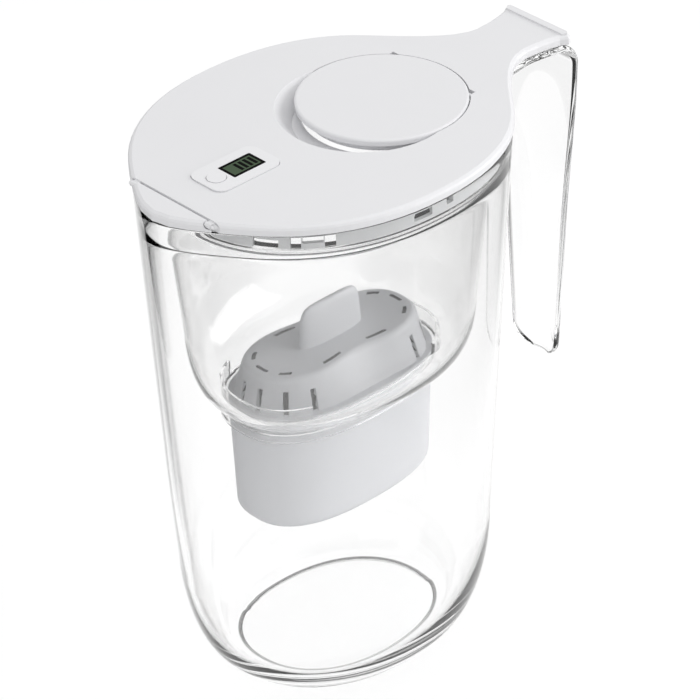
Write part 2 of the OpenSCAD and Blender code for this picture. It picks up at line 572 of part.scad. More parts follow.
// --- spout flap ---------------------------------------------------------
module spout_flap() color("whitesmoke") in_frame() {
    difference() {
        union() {
            difference() {
                lid_block();
                prism(inset(lid_outline, lid_edge_t), lid_bottom - 1, plate_z);
                slab(knuckle_x, tail_x + 5, jug_wid + 4, lid_bottom - 1, lid_top + 1);
            }
            intersection() {
                bar(knuckle_x, knuckle_z, knuckle_r, -jug_wid / 2, jug_wid / 2);
                prism(inset(lid_outline, 0.2), lid_bottom, lid_top);
            }
        }
        // slots round the tongues
        both_sides() {
            bar(knuckle_x, knuckle_z, knuckle_r + 0.1, tongue_y - tongue_w / 2 - tongue_gap,
                tongue_y + tongue_w / 2 + tongue_gap);
            translate([knuckle_x, tongue_y - tongue_w / 2 - tongue_gap, lid_bottom - 1])
                cube([5, tongue_w + 2 * tongue_gap, 8]);
        }
    }
    both_sides() bar(knuckle_x, knuckle_z, stub_r, tongue_y - tongue_w / 2 - 1, tongue_y + tongue_w / 2 + 1);
}

// --- timer --------------------------------------------------------------
bezel_t = 1.8;
bezel_top = lid_top + 0.7;
bezel_z = bezel_top - bezel_t;
case_len = bezel_len - 3.2;
case_wid = bezel_wid - 3.8;
case_wall = 0.9;
button_x = -11.1;                     // the button's middle, from the timer's middle
window_x = 3.8;                       // the window's middle, from the timer's middle
window_t = 1;
panel_t = 1.4;
strip_h = 2.2;
board_t = 0.8;
panel_z = bezel_z - 0.1 - panel_t;
strip_z = panel_z - strip_h;
board_z = strip_z - board_t;
contact_h = 2.2;
cell_z = board_z - 0.1 - contact_h - cell_t;
case_bottom = cell_z - 0.1 - case_wall;
switch_h = 1.8;
module at_timer() in_frame() translate([-timer_x, 0, 0]) children();
module timer_bezel() color("white") at_timer() difference() {
    round_rect(bezel_len, bezel_wid, 5, bezel_z, bezel_top);
    translate([window_x, 0, 0]) {
        round_rect(lcd_len, lcd_wid, 0.6, bezel_top - window_t - 0.1, bezel_top + 1);
        round_rect(lcd_len - 2, lcd_wid - 2, 0.6, bezel_z - 1, bezel_top);
    }
    translate([button_x, 0, bezel_z - 1]) cylinder(r = button_r + 0.25, h = 5, $fn = 64);
}
module lcd_window() color("dimgray") at_timer() translate([window_x, 0, 0])
    round_rect(lcd_len - 0.2, lcd_wid - 0.2, 0.6, bezel_top - window_t - 0.05, bezel_top - 0.05);
module lcd_panel() color("darkseagreen") at_timer() translate([window_x, 0, 0])
    round_rect(lcd_len - 0.8, lcd_wid + 1.6, 0.4, panel_z, panel_z + panel_t);
module zebra_strips() color("black") at_timer() both_sides()
    translate([window_x - lcd_len / 2 + 1.5, lcd_wid / 2 - 1, strip_z + 0.02]) cube([lcd_len - 3, 1.4, strip_h - 0.04]);
module timer_board() color("seagreen") at_timer() round_rect(case_len - 2.2, case_wid - 2.2, 0.8, board_z, strip_z);
module tact_switch() color("black") at_timer() translate([button_x, 0, strip_z]) {
    translate([-2.2, -2.2, 0.02]) cube([4.4, 4.4, switch_h - 0.6]);
    cylinder(r = 1.2, h = switch_h, $fn = 32);
}
module reset_button() color("white") at_timer() translate([button_x, 0, 0]) {
    translate([0, 0, bezel_z - 0.5]) cylinder(r = button_r, h = bezel_t + 0.75, $fn = 64);
    translate([0, 0, bezel_z - 0.9]) cylinder(r = button_r + 0.6, h = 0.6, $fn = 64);
    translate([0, 0, strip_z + switch_h + button_travel + 0.05])
        cylinder(r = 1.4, h = bezel_z - 0.6 - strip_z - switch_h - button_travel, $fn = 32);
}
module coin_cell() color("lightsteelblue") at_timer() translate([window_x, 0, cell_z])
    rotate_extrude($fn = 96)
    polygon([[0, 0], [cell_d / 2 - 1, 0], [cell_d / 2, 0.6], [cell_d / 2, cell_t], [0, cell_t]]);
module battery_contact() color("gold") at_timer() {
    translate([window_x - 5, -2, board_z - 0.4]) cube([8, 4, 0.38]);
    translate([window_x - 5, -2, cell_z + cell_t + 0.05]) cube([8, 4, 0.35]);
    translate([window_x - 5.35, -2, cell_z + cell_t + 0.05]) cube([0.45, 4, contact_h - 0.05 + 0.08]);
}
module timer_case() color("white") at_timer() difference() {
    round_rect(case_len, case_wid, 2, case_bottom, bezel_z - 0.05);
    round_rect(case_len - 2 * case_wall, case_wid - 2 * case_wall, 1.2, case_bottom + case_wall, bezel_z + 1);
}

jug_shell();
jug_handle();
reservoir();
cartridge_cup();
cartridge_cap();
inlet_screen();
filter_medium();
outlet_screen();
lid_cover();
lid_liner();
flip_disc();
flip_liner();
spout_flap();
timer_bezel();
lcd_window();
lcd_panel();
zebra_strips();
timer_board();
tact_switch();
coin_cell();
battery_contact();
timer_case();
reset_button();
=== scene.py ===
"""Water filter pitcher with a flip lid, dressed for looks.

The clear jug, its handle, the reservoir and the cartridge are drawn here as smooth
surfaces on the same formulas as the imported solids; the small parts keep their solids
and get finishes. Lengths in the classes are millimetres; meshes are in metres.
"""

import logging
import math
from dataclasses import dataclass, field
from enum import Enum
from functools import partial
from typing import Any, Sequence

import bpy
import numpy as np
from mathutils import Matrix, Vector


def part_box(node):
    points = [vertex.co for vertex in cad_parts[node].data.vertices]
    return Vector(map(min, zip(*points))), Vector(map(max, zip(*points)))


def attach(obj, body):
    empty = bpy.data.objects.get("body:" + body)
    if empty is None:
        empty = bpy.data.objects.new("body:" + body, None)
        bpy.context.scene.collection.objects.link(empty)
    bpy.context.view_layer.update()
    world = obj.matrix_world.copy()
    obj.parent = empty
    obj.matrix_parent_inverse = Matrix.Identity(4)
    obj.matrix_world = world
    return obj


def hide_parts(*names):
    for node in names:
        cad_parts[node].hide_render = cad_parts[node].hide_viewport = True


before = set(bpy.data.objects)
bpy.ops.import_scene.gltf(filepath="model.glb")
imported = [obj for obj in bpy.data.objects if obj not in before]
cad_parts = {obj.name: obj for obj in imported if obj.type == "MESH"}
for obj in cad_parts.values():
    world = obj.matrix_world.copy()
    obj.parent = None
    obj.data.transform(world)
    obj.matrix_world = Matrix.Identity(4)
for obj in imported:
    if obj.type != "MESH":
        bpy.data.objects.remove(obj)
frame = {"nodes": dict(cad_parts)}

LOG = logging.getLogger("pitcher")
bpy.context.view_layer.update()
MM = 0.001
AXIS_X = -20.1  # the jug's own axis in the shared frame, mm

WHITE = (1, 1, 1, 1)

Array = np.ndarray
Piece = bpy.types.Object
Tree = bpy.types.NodeTree
Node = bpy.types.Node
Socket = bpy.types.NodeSocket
Material = bpy.types.Material
Materials = dict[str, Material]


# --------------------------------------------------------------------------
# Small tools
# --------------------------------------------------------------------------
def linear(colour: str) -> tuple[float, float, float, float]:
    """Turns an sRGB hex colour into linear RGBA.

    Args:
        colour: Six hex digits.

    Returns:
        Linear red, green, blue and an alpha of one.
    """
    parts = np.array([int(colour[i:i + 2], 16) / 255.0 for i in (0, 2, 4)])
    low = parts / 12.92
    high = ((parts + 0.055) / 1.055) ** 2.4
    out = np.where(parts <= 0.04045, low, high)
    return float(out[0]), float(out[1]), float(out[2]), 1.0


def add(tree: Tree, kind: str, values: dict[Any, Any] | None = None,
        links: dict[Any, Any] | None = None, **settings: Any) -> Node:
    """Adds one node to a tree.

    Args:
        tree: The tree the node goes into.
        kind: Blender's name of the node type.
        values: Socket name or index to its constant.
        links: Socket name or index to the output socket that feeds it.
        **settings: Properties set on the node itself.

    Returns:
        The new node.
    """
    node = tree.nodes.new(kind)
    for name, value in settings.items():
        setattr(node, name, value)
    for socket, value in (values or {}).items():
        node.inputs[socket].default_value = value
    for socket, source in (links or {}).items():
        tree.links.new(source, node.inputs[socket])
    return node


def sheet_mesh(name: str, rings: Array, ends: bool = False, loop: bool = False,
               sharp_deg: float = 32.0) -> Piece:
    """Makes one closed skin over a stack of rings.

    The points of ring i, column j are joined to those of ring i+1, column j+1 by a
    quad; columns close on themselves. With ends, each end ring is filled by quads
    between point j and point k-1-j, which are mirror partners. With loop, the last
    ring joins the first.

    Args:
        name: The object's name.
        rings: Array (m, k, 3) in millimetres, in the jug's own frame.
        ends: True to fill both end rings.
        loop: True to join the last ring to the first.
        sharp_deg: Edges that bend more than this stay crisp.

    Returns:
        The new object, linked to the scene, in metres in the shared frame.
    """
    m, k, _ = rings.shape
    i = np.arange(m if loop else m - 1)[:, None]
    j = np.arange(k)[None, :]
    nxt = (i + 1) % m
    right = (j + 1) % k
    quads = np.stack([i * k + j, i * k + right, nxt * k + right, nxt * k + j], axis=-1)
    faces = [quads.reshape(-1, 4)]
    if ends:
        r = np.arange(k // 2 - 1)
        rung = np.stack([r, k - 1 - r, k - 2 - r, r + 1], axis=-1)
        faces += [rung, rung[:, ::-1] + (m - 1) * k]
    points = rings.reshape(-1, 3).copy()
    points[:, 0] += AXIS_X
    return make_object(name, points * MM, np.concatenate(faces), sharp_deg)


def make_object(name: str, points: Array, quads: Array, sharp_deg: float = 32.0) -> Piece:
    """Puts points and quads into a new mesh object with outward faces.

    Args:
        name: The object's name.
        points: Array (n, 3) in metres in the shared frame.
        quads: Array (f, 4) of point numbers.
        sharp_deg: Edges that bend more than this stay crisp.

    Returns:
        The new object, linked to the scene.
    """
    mesh = bpy.data.meshes.new(name)
    mesh.vertices.add(len(points))
    mesh.vertices.foreach_set("co", points.astype(np.float32).ravel())
    mesh.loops.add(quads.size)
    mesh.loops.foreach_set("vertex_index", quads.astype(np.int32).ravel())
    mesh.polygons.add(len(quads))
    mesh.polygons.foreach_set("loop_start", np.arange(len(quads), dtype=np.int32) * 4)
    mesh.update(calc_edges=True)
    mesh.validate()
    mesh.polygons.foreach_set("use_smooth", np.ones(len(mesh.polygons), dtype=bool))
    mesh.set_sharp_from_angle(angle=math.radians(sharp_deg))
    obj = bpy.data.objects.new(name, mesh)
    bpy.context.scene.collection.objects.link(obj)
    return obj


def signed_pow(v: Array, p: float) -> Array:
    """Returns the sign of v times the size of v to the power p."""
    return np.sign(v) * np.abs(v) ** p


def oval(a: float, b: float, n: float, k: int) -> Array:
    """Superellipse |x/a|^n + |y/b|^n = 1 as k points, anticlockwise from (a, 0).

    Args:
        a: Half length along X.
        b: Half length along Y.
        n: Squareness; 2 is an ellipse.
        k: Number of points.

    Returns:
        Array (k, 2).
    """
    t = np.arange(k) * 2 * math.pi / k
    return np.stack([a * signed_pow(np.cos(t), 2 / n), b * signed_pow(np.sin(t), 2 / n)], axis=-1)


def at_z(outline: Array, z: float) -> Array:
    """Lifts an outline (k, 2) to the height z as a ring (k, 3)."""
    return np.concatenate([outline, np.full((len(outline), 1), float(z))], axis=1)


class Leaves(Enum):
    """The way a fillet's curve leaves its start."""

    UP = 0
    ACROSS = 1


def fillet(z0: float, z1: float, o0: float, o1: float, steps: int,
           leaves: Leaves) -> list[tuple[float, float]]:
    """Quarter of an ellipse between two (height, inset) pairs.

    Args:
        z0: Height at the start.
        z1: Height at the end.
        o0: Inset at the start.
        o1: Inset at the end.
        steps: Number of steps.
        leaves: Whether the curve leaves along the height or along the inset.

    Returns:
        Pairs of height and inset, the start left out and the end in.
    """
    t = np.linspace(0, math.pi / 2, steps + 1)[1:]
    fast, slow = np.sin(t), 1 - np.cos(t)
    up, out = (fast, slow) if leaves is Leaves.UP else (slow, fast)
    return [(z0 + (z1 - z0) * float(p), o0 + (o1 - o0) * float(q)) for p, q in zip(up, out)]


def math_node(tree: Tree, kind: str, a: Any, b: Any) -> Socket:
    """Adds one Math node.

    Args:
        tree: The tree the node goes into.
        kind: Blender's name of the operation.
        a: First input, a socket or a number.
        b: Second input, the same; 0.0 where the operation takes only one.

    Returns:
        The node's output.
    """
    values = {i: v for i, v in enumerate((a, b)) if isinstance(v, float)}
    links = {i: v for i, v in enumerate((a, b)) if not isinstance(v, float)}
    return add(tree, "ShaderNodeMath", values, links, operation=kind).outputs[0]


def object_coords(tree: Tree) -> Socket:
    """Adds the object's own coordinates to a tree and returns their output."""
    return add(tree, "ShaderNodeTexCoord").outputs["Object"]


def spread(tree: Tree, factor: Socket, middle: float, span: tuple[float, float]) -> Socket:
    """Maps a factor from 0 to 1 onto the middle value times each end of a span.

    Args:
        tree: The tree the node goes into.
        factor: The output that varies from 0 to 1.
        middle: The value that the span multiplies.
        span: Its share at 0 and at 1.

    Returns:
        The mapped output.
    """
    ends = {"To Min": middle * span[0], "To Max": middle * span[1]}
    return add(tree, "ShaderNodeMapRange", ends, {"Value": factor}).outputs["Result"]


def new_tree(name: str) -> tuple[Material, Tree]:
    """Makes a material with an empty node tree.

    Args:
        name: The material's name.

    Returns:
        The material and its tree.
    """
    mat = bpy.data.materials.new(name)
    mat.use_nodes = True
    mat.node_tree.nodes.clear()
    return mat, mat.node_tree


def finish_tree(tree: Tree, shader: Socket) -> None:
    """Joins a shader to the material's output."""
    out = add(tree, "ShaderNodeOutputMaterial")
    tree.links.new(shader, out.inputs["Surface"])


# --------------------------------------------------------------------------
# Finishes
# --------------------------------------------------------------------------
class Grain(Enum):
    """Which surface relief a moulded finish has."""

    SMOOTH = 0
    SATIN = 1
    WOVEN = 2
    GRANULES = 3


@dataclass(frozen=True)
class Moulded:
    """Opaque injection-moulded plastic: even colour, faint waviness, a soft sheen.

    The colour drifts by about a percent over a few centimetres, the gloss by a few
    percent. Satin parts have a spark-eroded grain of about 0.4 mm, drawn as coarse as
    0.6 mm so that it shows; woven threads lie 3 mm apart, far coarser than the real
    screen's, for the same reason; granules measure about 1 mm.
    """

    name: str
    colour: str
    roughness: float
    grain: Grain = Grain.SATIN
    ior: float = 1.5
    drift: tuple[float, float] = (0.985, 1.012)
    gloss: tuple[float, float] = (0.93, 1.07)

    def material(self) -> Material:
        """Builds the finish.

        Returns:
            The material.
        """
        mat, tree = new_tree(self.name)
        where = object_coords(tree)
        cloud = add(tree, "ShaderNodeTexNoise", {"Scale": 28.0, "Detail": 2.0}, {"Vector": where})
        r, g, b, _ = linear(self.colour)
        dull, clean = [(r * share, g * share, b * share, 1) for share in self.drift]
        shade = cloud.outputs["Fac"]
        tone = add(tree, "ShaderNodeMix", {6: dull, 7: clean}, {"Factor": shade}, data_type="RGBA")
        wear = spread(tree, shade, self.roughness, self.gloss)
        shader = add(tree, "ShaderNodeBsdfPrincipled", {"IOR": self.ior},
                     {"Base Color": tone.outputs[2], "Roughness": wear})
        normal = self.relief(tree, where)
        if normal is not None:
            tree.links.new(normal, shader.inputs["Normal"])
        finish_tree(tree, shader.outputs["BSDF"])
        return mat

    def relief(self, tree: Tree, where: Socket) -> Socket | None:
        """Adds the surface's relief.

        Args:
            tree: The material's tree.
            where: Object coordinates.

        Returns:
            The normal output, or None for a polished surface.
        """
        if self.grain is Grain.SMOOTH:
            return None
        if self.grain is Grain.SATIN:
            pits = add(tree, "ShaderNodeTexNoise", {"Scale": 1600.0, "Detail": 2.0},
                       {"Vector": where})
            height, depth, strength = pits.outputs["Fac"], 0.00002, 0.25
        elif self.grain is Grain.WOVEN:
            warp, weft = [add(tree, "ShaderNodeTexWave", {"Scale": 320.0}, {"Vector": where},
                              bands_direction=way).outputs["Fac"] for way in "XY"]
            height, depth, strength = math_node(tree, "MAXIMUM", warp, weft), 0.0002, 0.8
        else:
            grit = add(tree, "ShaderNodeTexVoronoi", {"Scale": 900.0}, {"Vector": where})
            height, depth, strength = grit.outputs["Distance"], 0.0004, 1.0
        size = {"Distance": depth, "Strength": strength}
        return add(tree, "ShaderNodeBump", size, {"Height": height}).outputs["Normal"]


@dataclass(frozen=True)
class ClearPlastic:
    """Clear styrene-acrylonitrile, injection-moulded and polished: glassy, very faintly
    cool, lets lamp light through so that what stands inside is lit."""

    name: str
    colour: str = "FFFFFF"
    roughness: float = 0.02
    ior: float = 1.5
    gloss: tuple[float, float] = (0.7, 1.3)
    ripple: float = 0.03

    def material(self) -> Material:
        """Builds the finish.

        Returns:
            The material.
        """
        mat, tree = new_tree(self.name)
        where = object_coords(tree)
        noise = add(tree, "ShaderNodeTexNoise", {"Scale": 14.0, "Detail": 1.0}, {"Vector": where})
        swirl = noise.outputs["Fac"]
        gloss = spread(tree, swirl, self.roughness, self.gloss)
        ripple = add(tree, "ShaderNodeBump", {"Distance": 0.0002, "Strength": self.ripple},
                     {"Height": swirl})
        tint = linear(self.colour)
        glass = add(tree, "ShaderNodeBsdfPrincipled",
                    {"Base Color": tint, "IOR": self.ior, "Transmission Weight": 1.0},
                    {"Roughness": gloss, "Normal": ripple.outputs["Normal"]})
        through = add(tree, "ShaderNodeBsdfTransparent", {"Color": tint})
        shadow = add(tree, "ShaderNodeLightPath").outputs["Is Shadow Ray"]
        pane = add(tree, "ShaderNodeMixShader", {},
                   {0: shadow, 1: glass.outputs["BSDF"], 2: through.outputs["BSDF"]})
        finish_tree(tree, pane.outputs["Shader"])
        return mat


@dataclass(frozen=True)
class Metal:
    """Plain sheet metal, rolled: brushed along X with streaks about 0.2 mm apart."""

    name: str
    colour: str
    roughness: float = 0.3
    gloss: tuple[float, float] = (0.8, 1.3)

    def material(self) -> Material:
        """Builds the finish.

        Returns:
            The material.
        """
        mat, tree = new_tree(self.name)
        where = object_coords(tree)
        stretch = add(tree, "ShaderNodeMapping", {"Scale": (60.0, 5000.0, 5000.0)},
                      {"Vector": where})
        streak = add(tree, "ShaderNodeTexNoise", {"Scale": 1.0},
                     {"Vector": stretch.outputs["Vector"]})
        rough = spread(tree, streak.outputs["Fac"], self.roughness, self.gloss)
        shader = add(tree, "ShaderNodeBsdfPrincipled",
                     {"Base Color": linear(self.colour), "Metallic": 1.0}, {"Roughness": rough})
        finish_tree(tree, shader.outputs["BSDF"])
        return mat


@dataclass(frozen=True)
class Display:
    """Liquid-crystal cell laminated under its window: black printed frame, grey-green
    ground, four plain black bars.

    Along X the frame takes the outer 1.5 mm, and the bars are 1.7 mm wide, 2.7 mm apart,
    the first 2.0 mm before the middle; across, they reach from -3.2 to 3.2 mm.
    """

    name: str
    ground: str = "4B5B48"
    ink: str = "020302"
    sheen: float = 0.02
    centre: tuple[float, float] = (0.0, 0.0)
    half: tuple[float, float] = (9.2, 5.6)
    frame: float = 1.5
    bars: tuple[float, float, float] = (-2.0, 2.7, 1.7)
    count: int = 4
    reach: tuple[float, float] = (-3.2, 3.2)

    def material(self) -> Material:
        """Builds the finish.

        Returns:
            The material.
        """
        mat, tree = new_tree(self.name)
        where = object_coords(tree)
        shift, scale = (-self.centre[0], -self.centre[1], 0.0), (1 / MM, 1 / MM, 1 / MM)
        local = add(tree, "ShaderNodeMapping", {"Location": shift, "Scale": scale},
                    {"Vector": where})
        axes = add(tree, "ShaderNodeSeparateXYZ", {}, {"Vector": local.outputs["Vector"]})
        calc = partial(math_node, tree)
        x, y = axes.outputs["X"], axes.outputs["Y"]
        outside = [calc("GREATER_THAN", calc("ABSOLUTE", axis, 0.0), half - self.frame)
                   for axis, half in zip((x, y), self.half)]
        dark = calc("MAXIMUM", *outside)
        tall = calc("MULTIPLY", calc("GREATER_THAN", y, self.reach[0]),
                    calc("LESS_THAN", y, self.reach[1]))
        for i in range(self.count):
            off = calc("ABSOLUTE", calc("SUBTRACT", x, self.bars[0] + i * self.bars[1]), 0.0)
            bar = calc("MULTIPLY", tall, calc("LESS_THAN", off, self.bars[2] / 2))
            dark = calc("MAXIMUM", dark, bar)
        tones = {6: linear(self.ground), 7: linear(self.ink)}
        tone = add(tree, "ShaderNodeMix", tones, {"Factor": dark}, data_type="RGBA")
        look = {"Roughness": 0.2, "IOR": 1.49, "Specular IOR Level": self.sheen}
        shader = add(tree, "ShaderNodeBsdfPrincipled", look, {"Base Color": tone.outputs[2]})
        finish_tree(tree, shader.outputs["BSDF"])
        return mat


@dataclass(frozen=True)
class Wardrobe:
    """Every finish of the pitcher, each with what its real material gives the eye, and a painted
    shade for the cap's grooves.
    """

    # clear as glass, with dark lines only where a wall is seen on edge
    clear: ClearPlastic = ClearPlastic("styrene_acrylonitrile_clear_polished")
    # the same resin from a tool that is less polished: edges a touch softer
    bowl: ClearPlastic = ClearPlastic("styrene_acrylonitrile_clear_bowl", roughness=0.03)
    # cool white with a broad, soft highlight
    white: Moulded = Moulded("abs_white_moulded_satin", "E4E4E6", 0.42)
    # the timer's parts: a shade lighter than the lid and a little glossier
    bright: Moulded = Moulded("abs_bright_white_moulded", "E8E8EA", 0.35)
    # neutral grey that sets the lid off from the clear wall below it
    skirt: Moulded = Moulded("abs_grey_moulded_satin", "D2D3D4", 0.5)
    # milky, slightly cool, dull sheen
    cup: Moulded = Moulded("polypropylene_white_moulded", "D4D5D8", 0.45)
    # the cap's resin, a step darker than the cup
    cap: Moulded = Moulded("polypropylene_pale_grey_moulded", "BABBBE", 0.45)
    # what shows in the cap's slots: the dark inside of the cartridge
    # painted shade: near black on the faces of the cap's slots and deck grooves, standing in for
    # the shade inside these recesses
    shade: Moulded = Moulded("painted_groove_shade", "1C1D1E", 0.6)
    # dull white with a cloth's grid
    weave: Moulded = Moulded("polyester_mesh_woven", "E6E6E6", 0.8, Grain.WOVEN)
    # black and pebbly, no highlight
    carbon: Moulded = Moulded("activated_carbon_granules", "1C1C1D", 0.85, Grain.GRANULES)
    # deep green lacquer over glass cloth, clear highlight
    board: Moulded = Moulded("glass_epoxy_solder_mask", "1E5A38", 0.35, Grain.SMOOTH)
    # near black with a wide, faint sheen
    rubber: Moulded = Moulded("silicone_rubber_black", "161616", 0.6)
    # bright, cool metal with fine streaks
    cell: Metal = Metal("nickel_plated_steel_brushed", "C9CBCE", 0.28)
    # warm yellow spring metal
    brass: Metal = Metal("phosphor_bronze_strip", "C9A567", 0.32)

    def materials(self) -> Materials:
        """Builds every finish and returns the materials by their field's name."""
        return {name: getattr(self, name).material() for name in self.__dataclass_fields__}


# --------------------------------------------------------------------------
# Placing and dressing
# --------------------------------------------------------------------------
def dress(mats: Materials, plan: dict[str, str]) -> None:
    """Gives carried-over solids their finishes.

    Args:
        mats: Materials by finish name.
        plan: Node name to finish name.
    """
    for node, finish in plan.items():
        mesh = frame["nodes"][node].data
        mesh.materials.clear()
        mesh.materials.append(mats[finish])
        LOG.info("dressed %s in %s", node, mats[finish].name)


def hang(obj: Piece, mat: Material, body: str, slot: str, *stands_for: str) -> Piece:
    """Gives a new piece its material and its body, and hides the solids it stands for.

    Args:
        obj: The piece.
        mat: Its material.
        body: The body it rides on.
        slot: The record's slot it belongs to; not used.
        *stands_for: Names of solids it replaces.

    Returns:
        The piece.
    """
    obj.data.materials.append(mat)
    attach(obj, body)
    if stands_for:
        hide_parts(*stands_for)
    LOG.info("made %s, %d faces, on %s", obj.name, len(obj.data.polygons), body)
    return obj


def place(obj: Piece, right: Array, up: Array, back: Array,
          at: Sequence[float]) -> Piece:
    """Links a lamp or the camera and turns it, given its three axes and its place.

    Args:
        obj: The object.
        right: Its own X axis.
        up: Its own Y axis.
        back: Its own Z axis, away from what it looks at.
        at: Where it stands, in metres.

    Returns:
        The object.
    """
    turn = np.eye(4)
    turn[:3] = np.stack([right, up, back, np.array(at)], axis=-1)
    obj.matrix_world = Matrix(turn.tolist())
    bpy.context.scene.collection.objects.link(obj)
    return obj


def quad(name: str, corners: Sequence[Sequence[float]]) -> Piece:
    """Links one flat four-cornered sheet.

    Args:
        name: The object's name.
        corners: Its corners in metres, in order.

    Returns:
        The object.
    """
    mesh = bpy.data.meshes.new(name)
    mesh.from_pydata([tuple(float(v) for v in corner) for corner in corners], [], [(0, 1, 2, 3)])
    obj = bpy.data.objects.new(name, mesh)
    bpy.context.scene.collection.objects.link(obj)
    return obj


# --------------------------------------------------------------------------
# Pieces
# --------------------------------------------------------------------------
@dataclass
class Jug:
    """The clear jug: mouth oval with a spout ridge, leaning wall, rounded foot."""

    half_len: float = 87.5
    half_wid: float = 76.0
    height: float = 268.0
    draft: float = 3.0
    wall: float = 2.8
    rim_wall: float = 1.6
    corner_v: float = 60.0
    corner_h: float = 23.0
    foot_w: float = 2.5
    foot_h: float = 2.2
    foot_round: float = 1.6
    foot_edge: float = 0.4
    floor_rings: tuple[float, float] = (12.0, 26.0)
    spout: float = 13.0
    spout_angle: float = 10.5
    spout_full: float = 125.0
    ledge: float = 255.5
    ledge_round: tuple[float, float] = (0.4, 5.0)
    square: float = 2.15
    around: int = 360

    def lean(self, z: float) -> float:
        """How far the wall has come in at the height z."""
        return (self.height - z) * math.tan(math.radians(self.draft))

    def reach(self, z: float) -> float:
        """How far the spout's ridge stands out at the height z."""
        u = min(1.0, z / self.spout_full)
        return self.spout * u * (2 - u)

    def ring(self, z: float, inset: float, z_wall: float | None = None) -> Array:
        """Ring of the jug: the oval pushed out along its radius by reach * sech(angle / 10.5).

        Args:
            z: Height of the ring.
            inset: How far the oval is drawn in from the wall's outside.
            z_wall: Height at which the wall's lean is read, when it isn't z.

        Returns:
            Array (k, 3).
        """
        zw = z if z_wall is None else z_wall
        d = self.lean(zw) + inset
        p = oval(self.half_len - d, self.half_wid - d, self.square, self.around)
        angle = np.degrees(np.arctan2(np.abs(p[:, 1]), -p[:, 0])) / self.spout_angle
        push = self.reach(z) / np.cosh(angle) / np.linalg.norm(p, axis=1)
        return at_z(p * (1 + push)[:, None], z)

    def corner(self, t: float, inset: float, floor: float) -> Array:
        """Ring of the rounded foot: a quarter-ellipse from the floor up to the wall.

        Args:
            t: Angle on the quarter-ellipse, 0 at the floor, 90 at the wall.
            inset: The wall's thickness, 0 outside.
            floor: Height of the floor.

        Returns:
            Array (k, 3).
        """
        a = math.radians(t)
        z = floor + (self.corner_v - floor) * (1 - math.cos(a))
        return self.ring(z, inset + self.corner_h * (1 - math.sin(a)), self.corner_v)

    def under(self) -> list[Array]:
        """Rings of the underside: the hollow below the floor, then down over the ring it stands on.

        Returns:
            The rings, from the middle outwards.
        """
        base = self.corner_h + self.foot_w
        flat = [(self.foot_h, base + d) for d in (*self.floor_rings[::-1], self.foot_round)]
        inner = fillet(self.foot_h, 0.3, base + self.foot_round, base, 8, Leaves.ACROSS)
        sole = [(0.0, o) for o in (base - self.foot_edge, base - 1.5, self.corner_h + 0.6)]
        return [self.ring(z, o, self.corner_v) for z, o in flat + inner + sole]

    def lip(self) -> list[Array]:
        """Rings over the mouth's half-round edge, down to the ledge and round it to the wall.

        Returns:
            The rings, from outside to inside.
        """
        half = self.rim_wall / 2
        over, low = self.ledge_round
        mid = (self.rim_wall + self.wall) / 2
        rise = fillet(self.height - half, self.height, 0.0, half, 5, Leaves.UP)
        fall = fillet(self.height, self.height - half, half, self.rim_wall, 5, Leaves.ACROSS)
        heights = np.linspace(self.height - half, self.ledge + over, 6)[1:]
        straight = [(z, self.rim_wall) for z in heights]
        shoulder = fillet(self.ledge + over, self.ledge, self.rim_wall, mid, 4, Leaves.UP)
        slope = fillet(self.ledge, self.ledge - low, mid, self.wall, 8, Leaves.ACROSS)
        return [self.ring(z, o) for z, o in rise + fall + straight + shoulder + slope]

    def shell(self) -> Piece:
        """Makes the shell as one closed skin, outside up, over the rim, inside down.

        Returns:
            The jug's object.
        """
        top = self.height - self.rim_wall / 2
        low = self.ledge - self.ledge_round[1]
        floor = self.foot_h + self.wall
        rings = self.under()
        rings += [self.corner(t, 0.0, 0.0) for t in np.linspace(0, 90, 41)]
        rings += [self.ring(z, 0.0) for z in np.linspace(self.corner_v, top, 34)[1:]]
        rings += self.lip()
        rings += [self.ring(z, self.wall) for z in np.linspace(low, self.corner_v, 32)[1:]]
        rings += [self.corner(t, self.wall, floor) for t in np.linspace(90, 0, 41)[1:]]
        inner = self.wall + self.corner_h
        rings += [self.ring(floor, inner + d, self.corner_v) for d in self.floor_rings]
        return sheet_mesh("jug_wall_clear", np.stack(rings), ends=True)

    def build(self, mats: Materials) -> None:
        """Builds the jug in clear plastic."""
        hang(self.shell(), mats["clear"], "jug", "clear_plastic", "jug_shell")


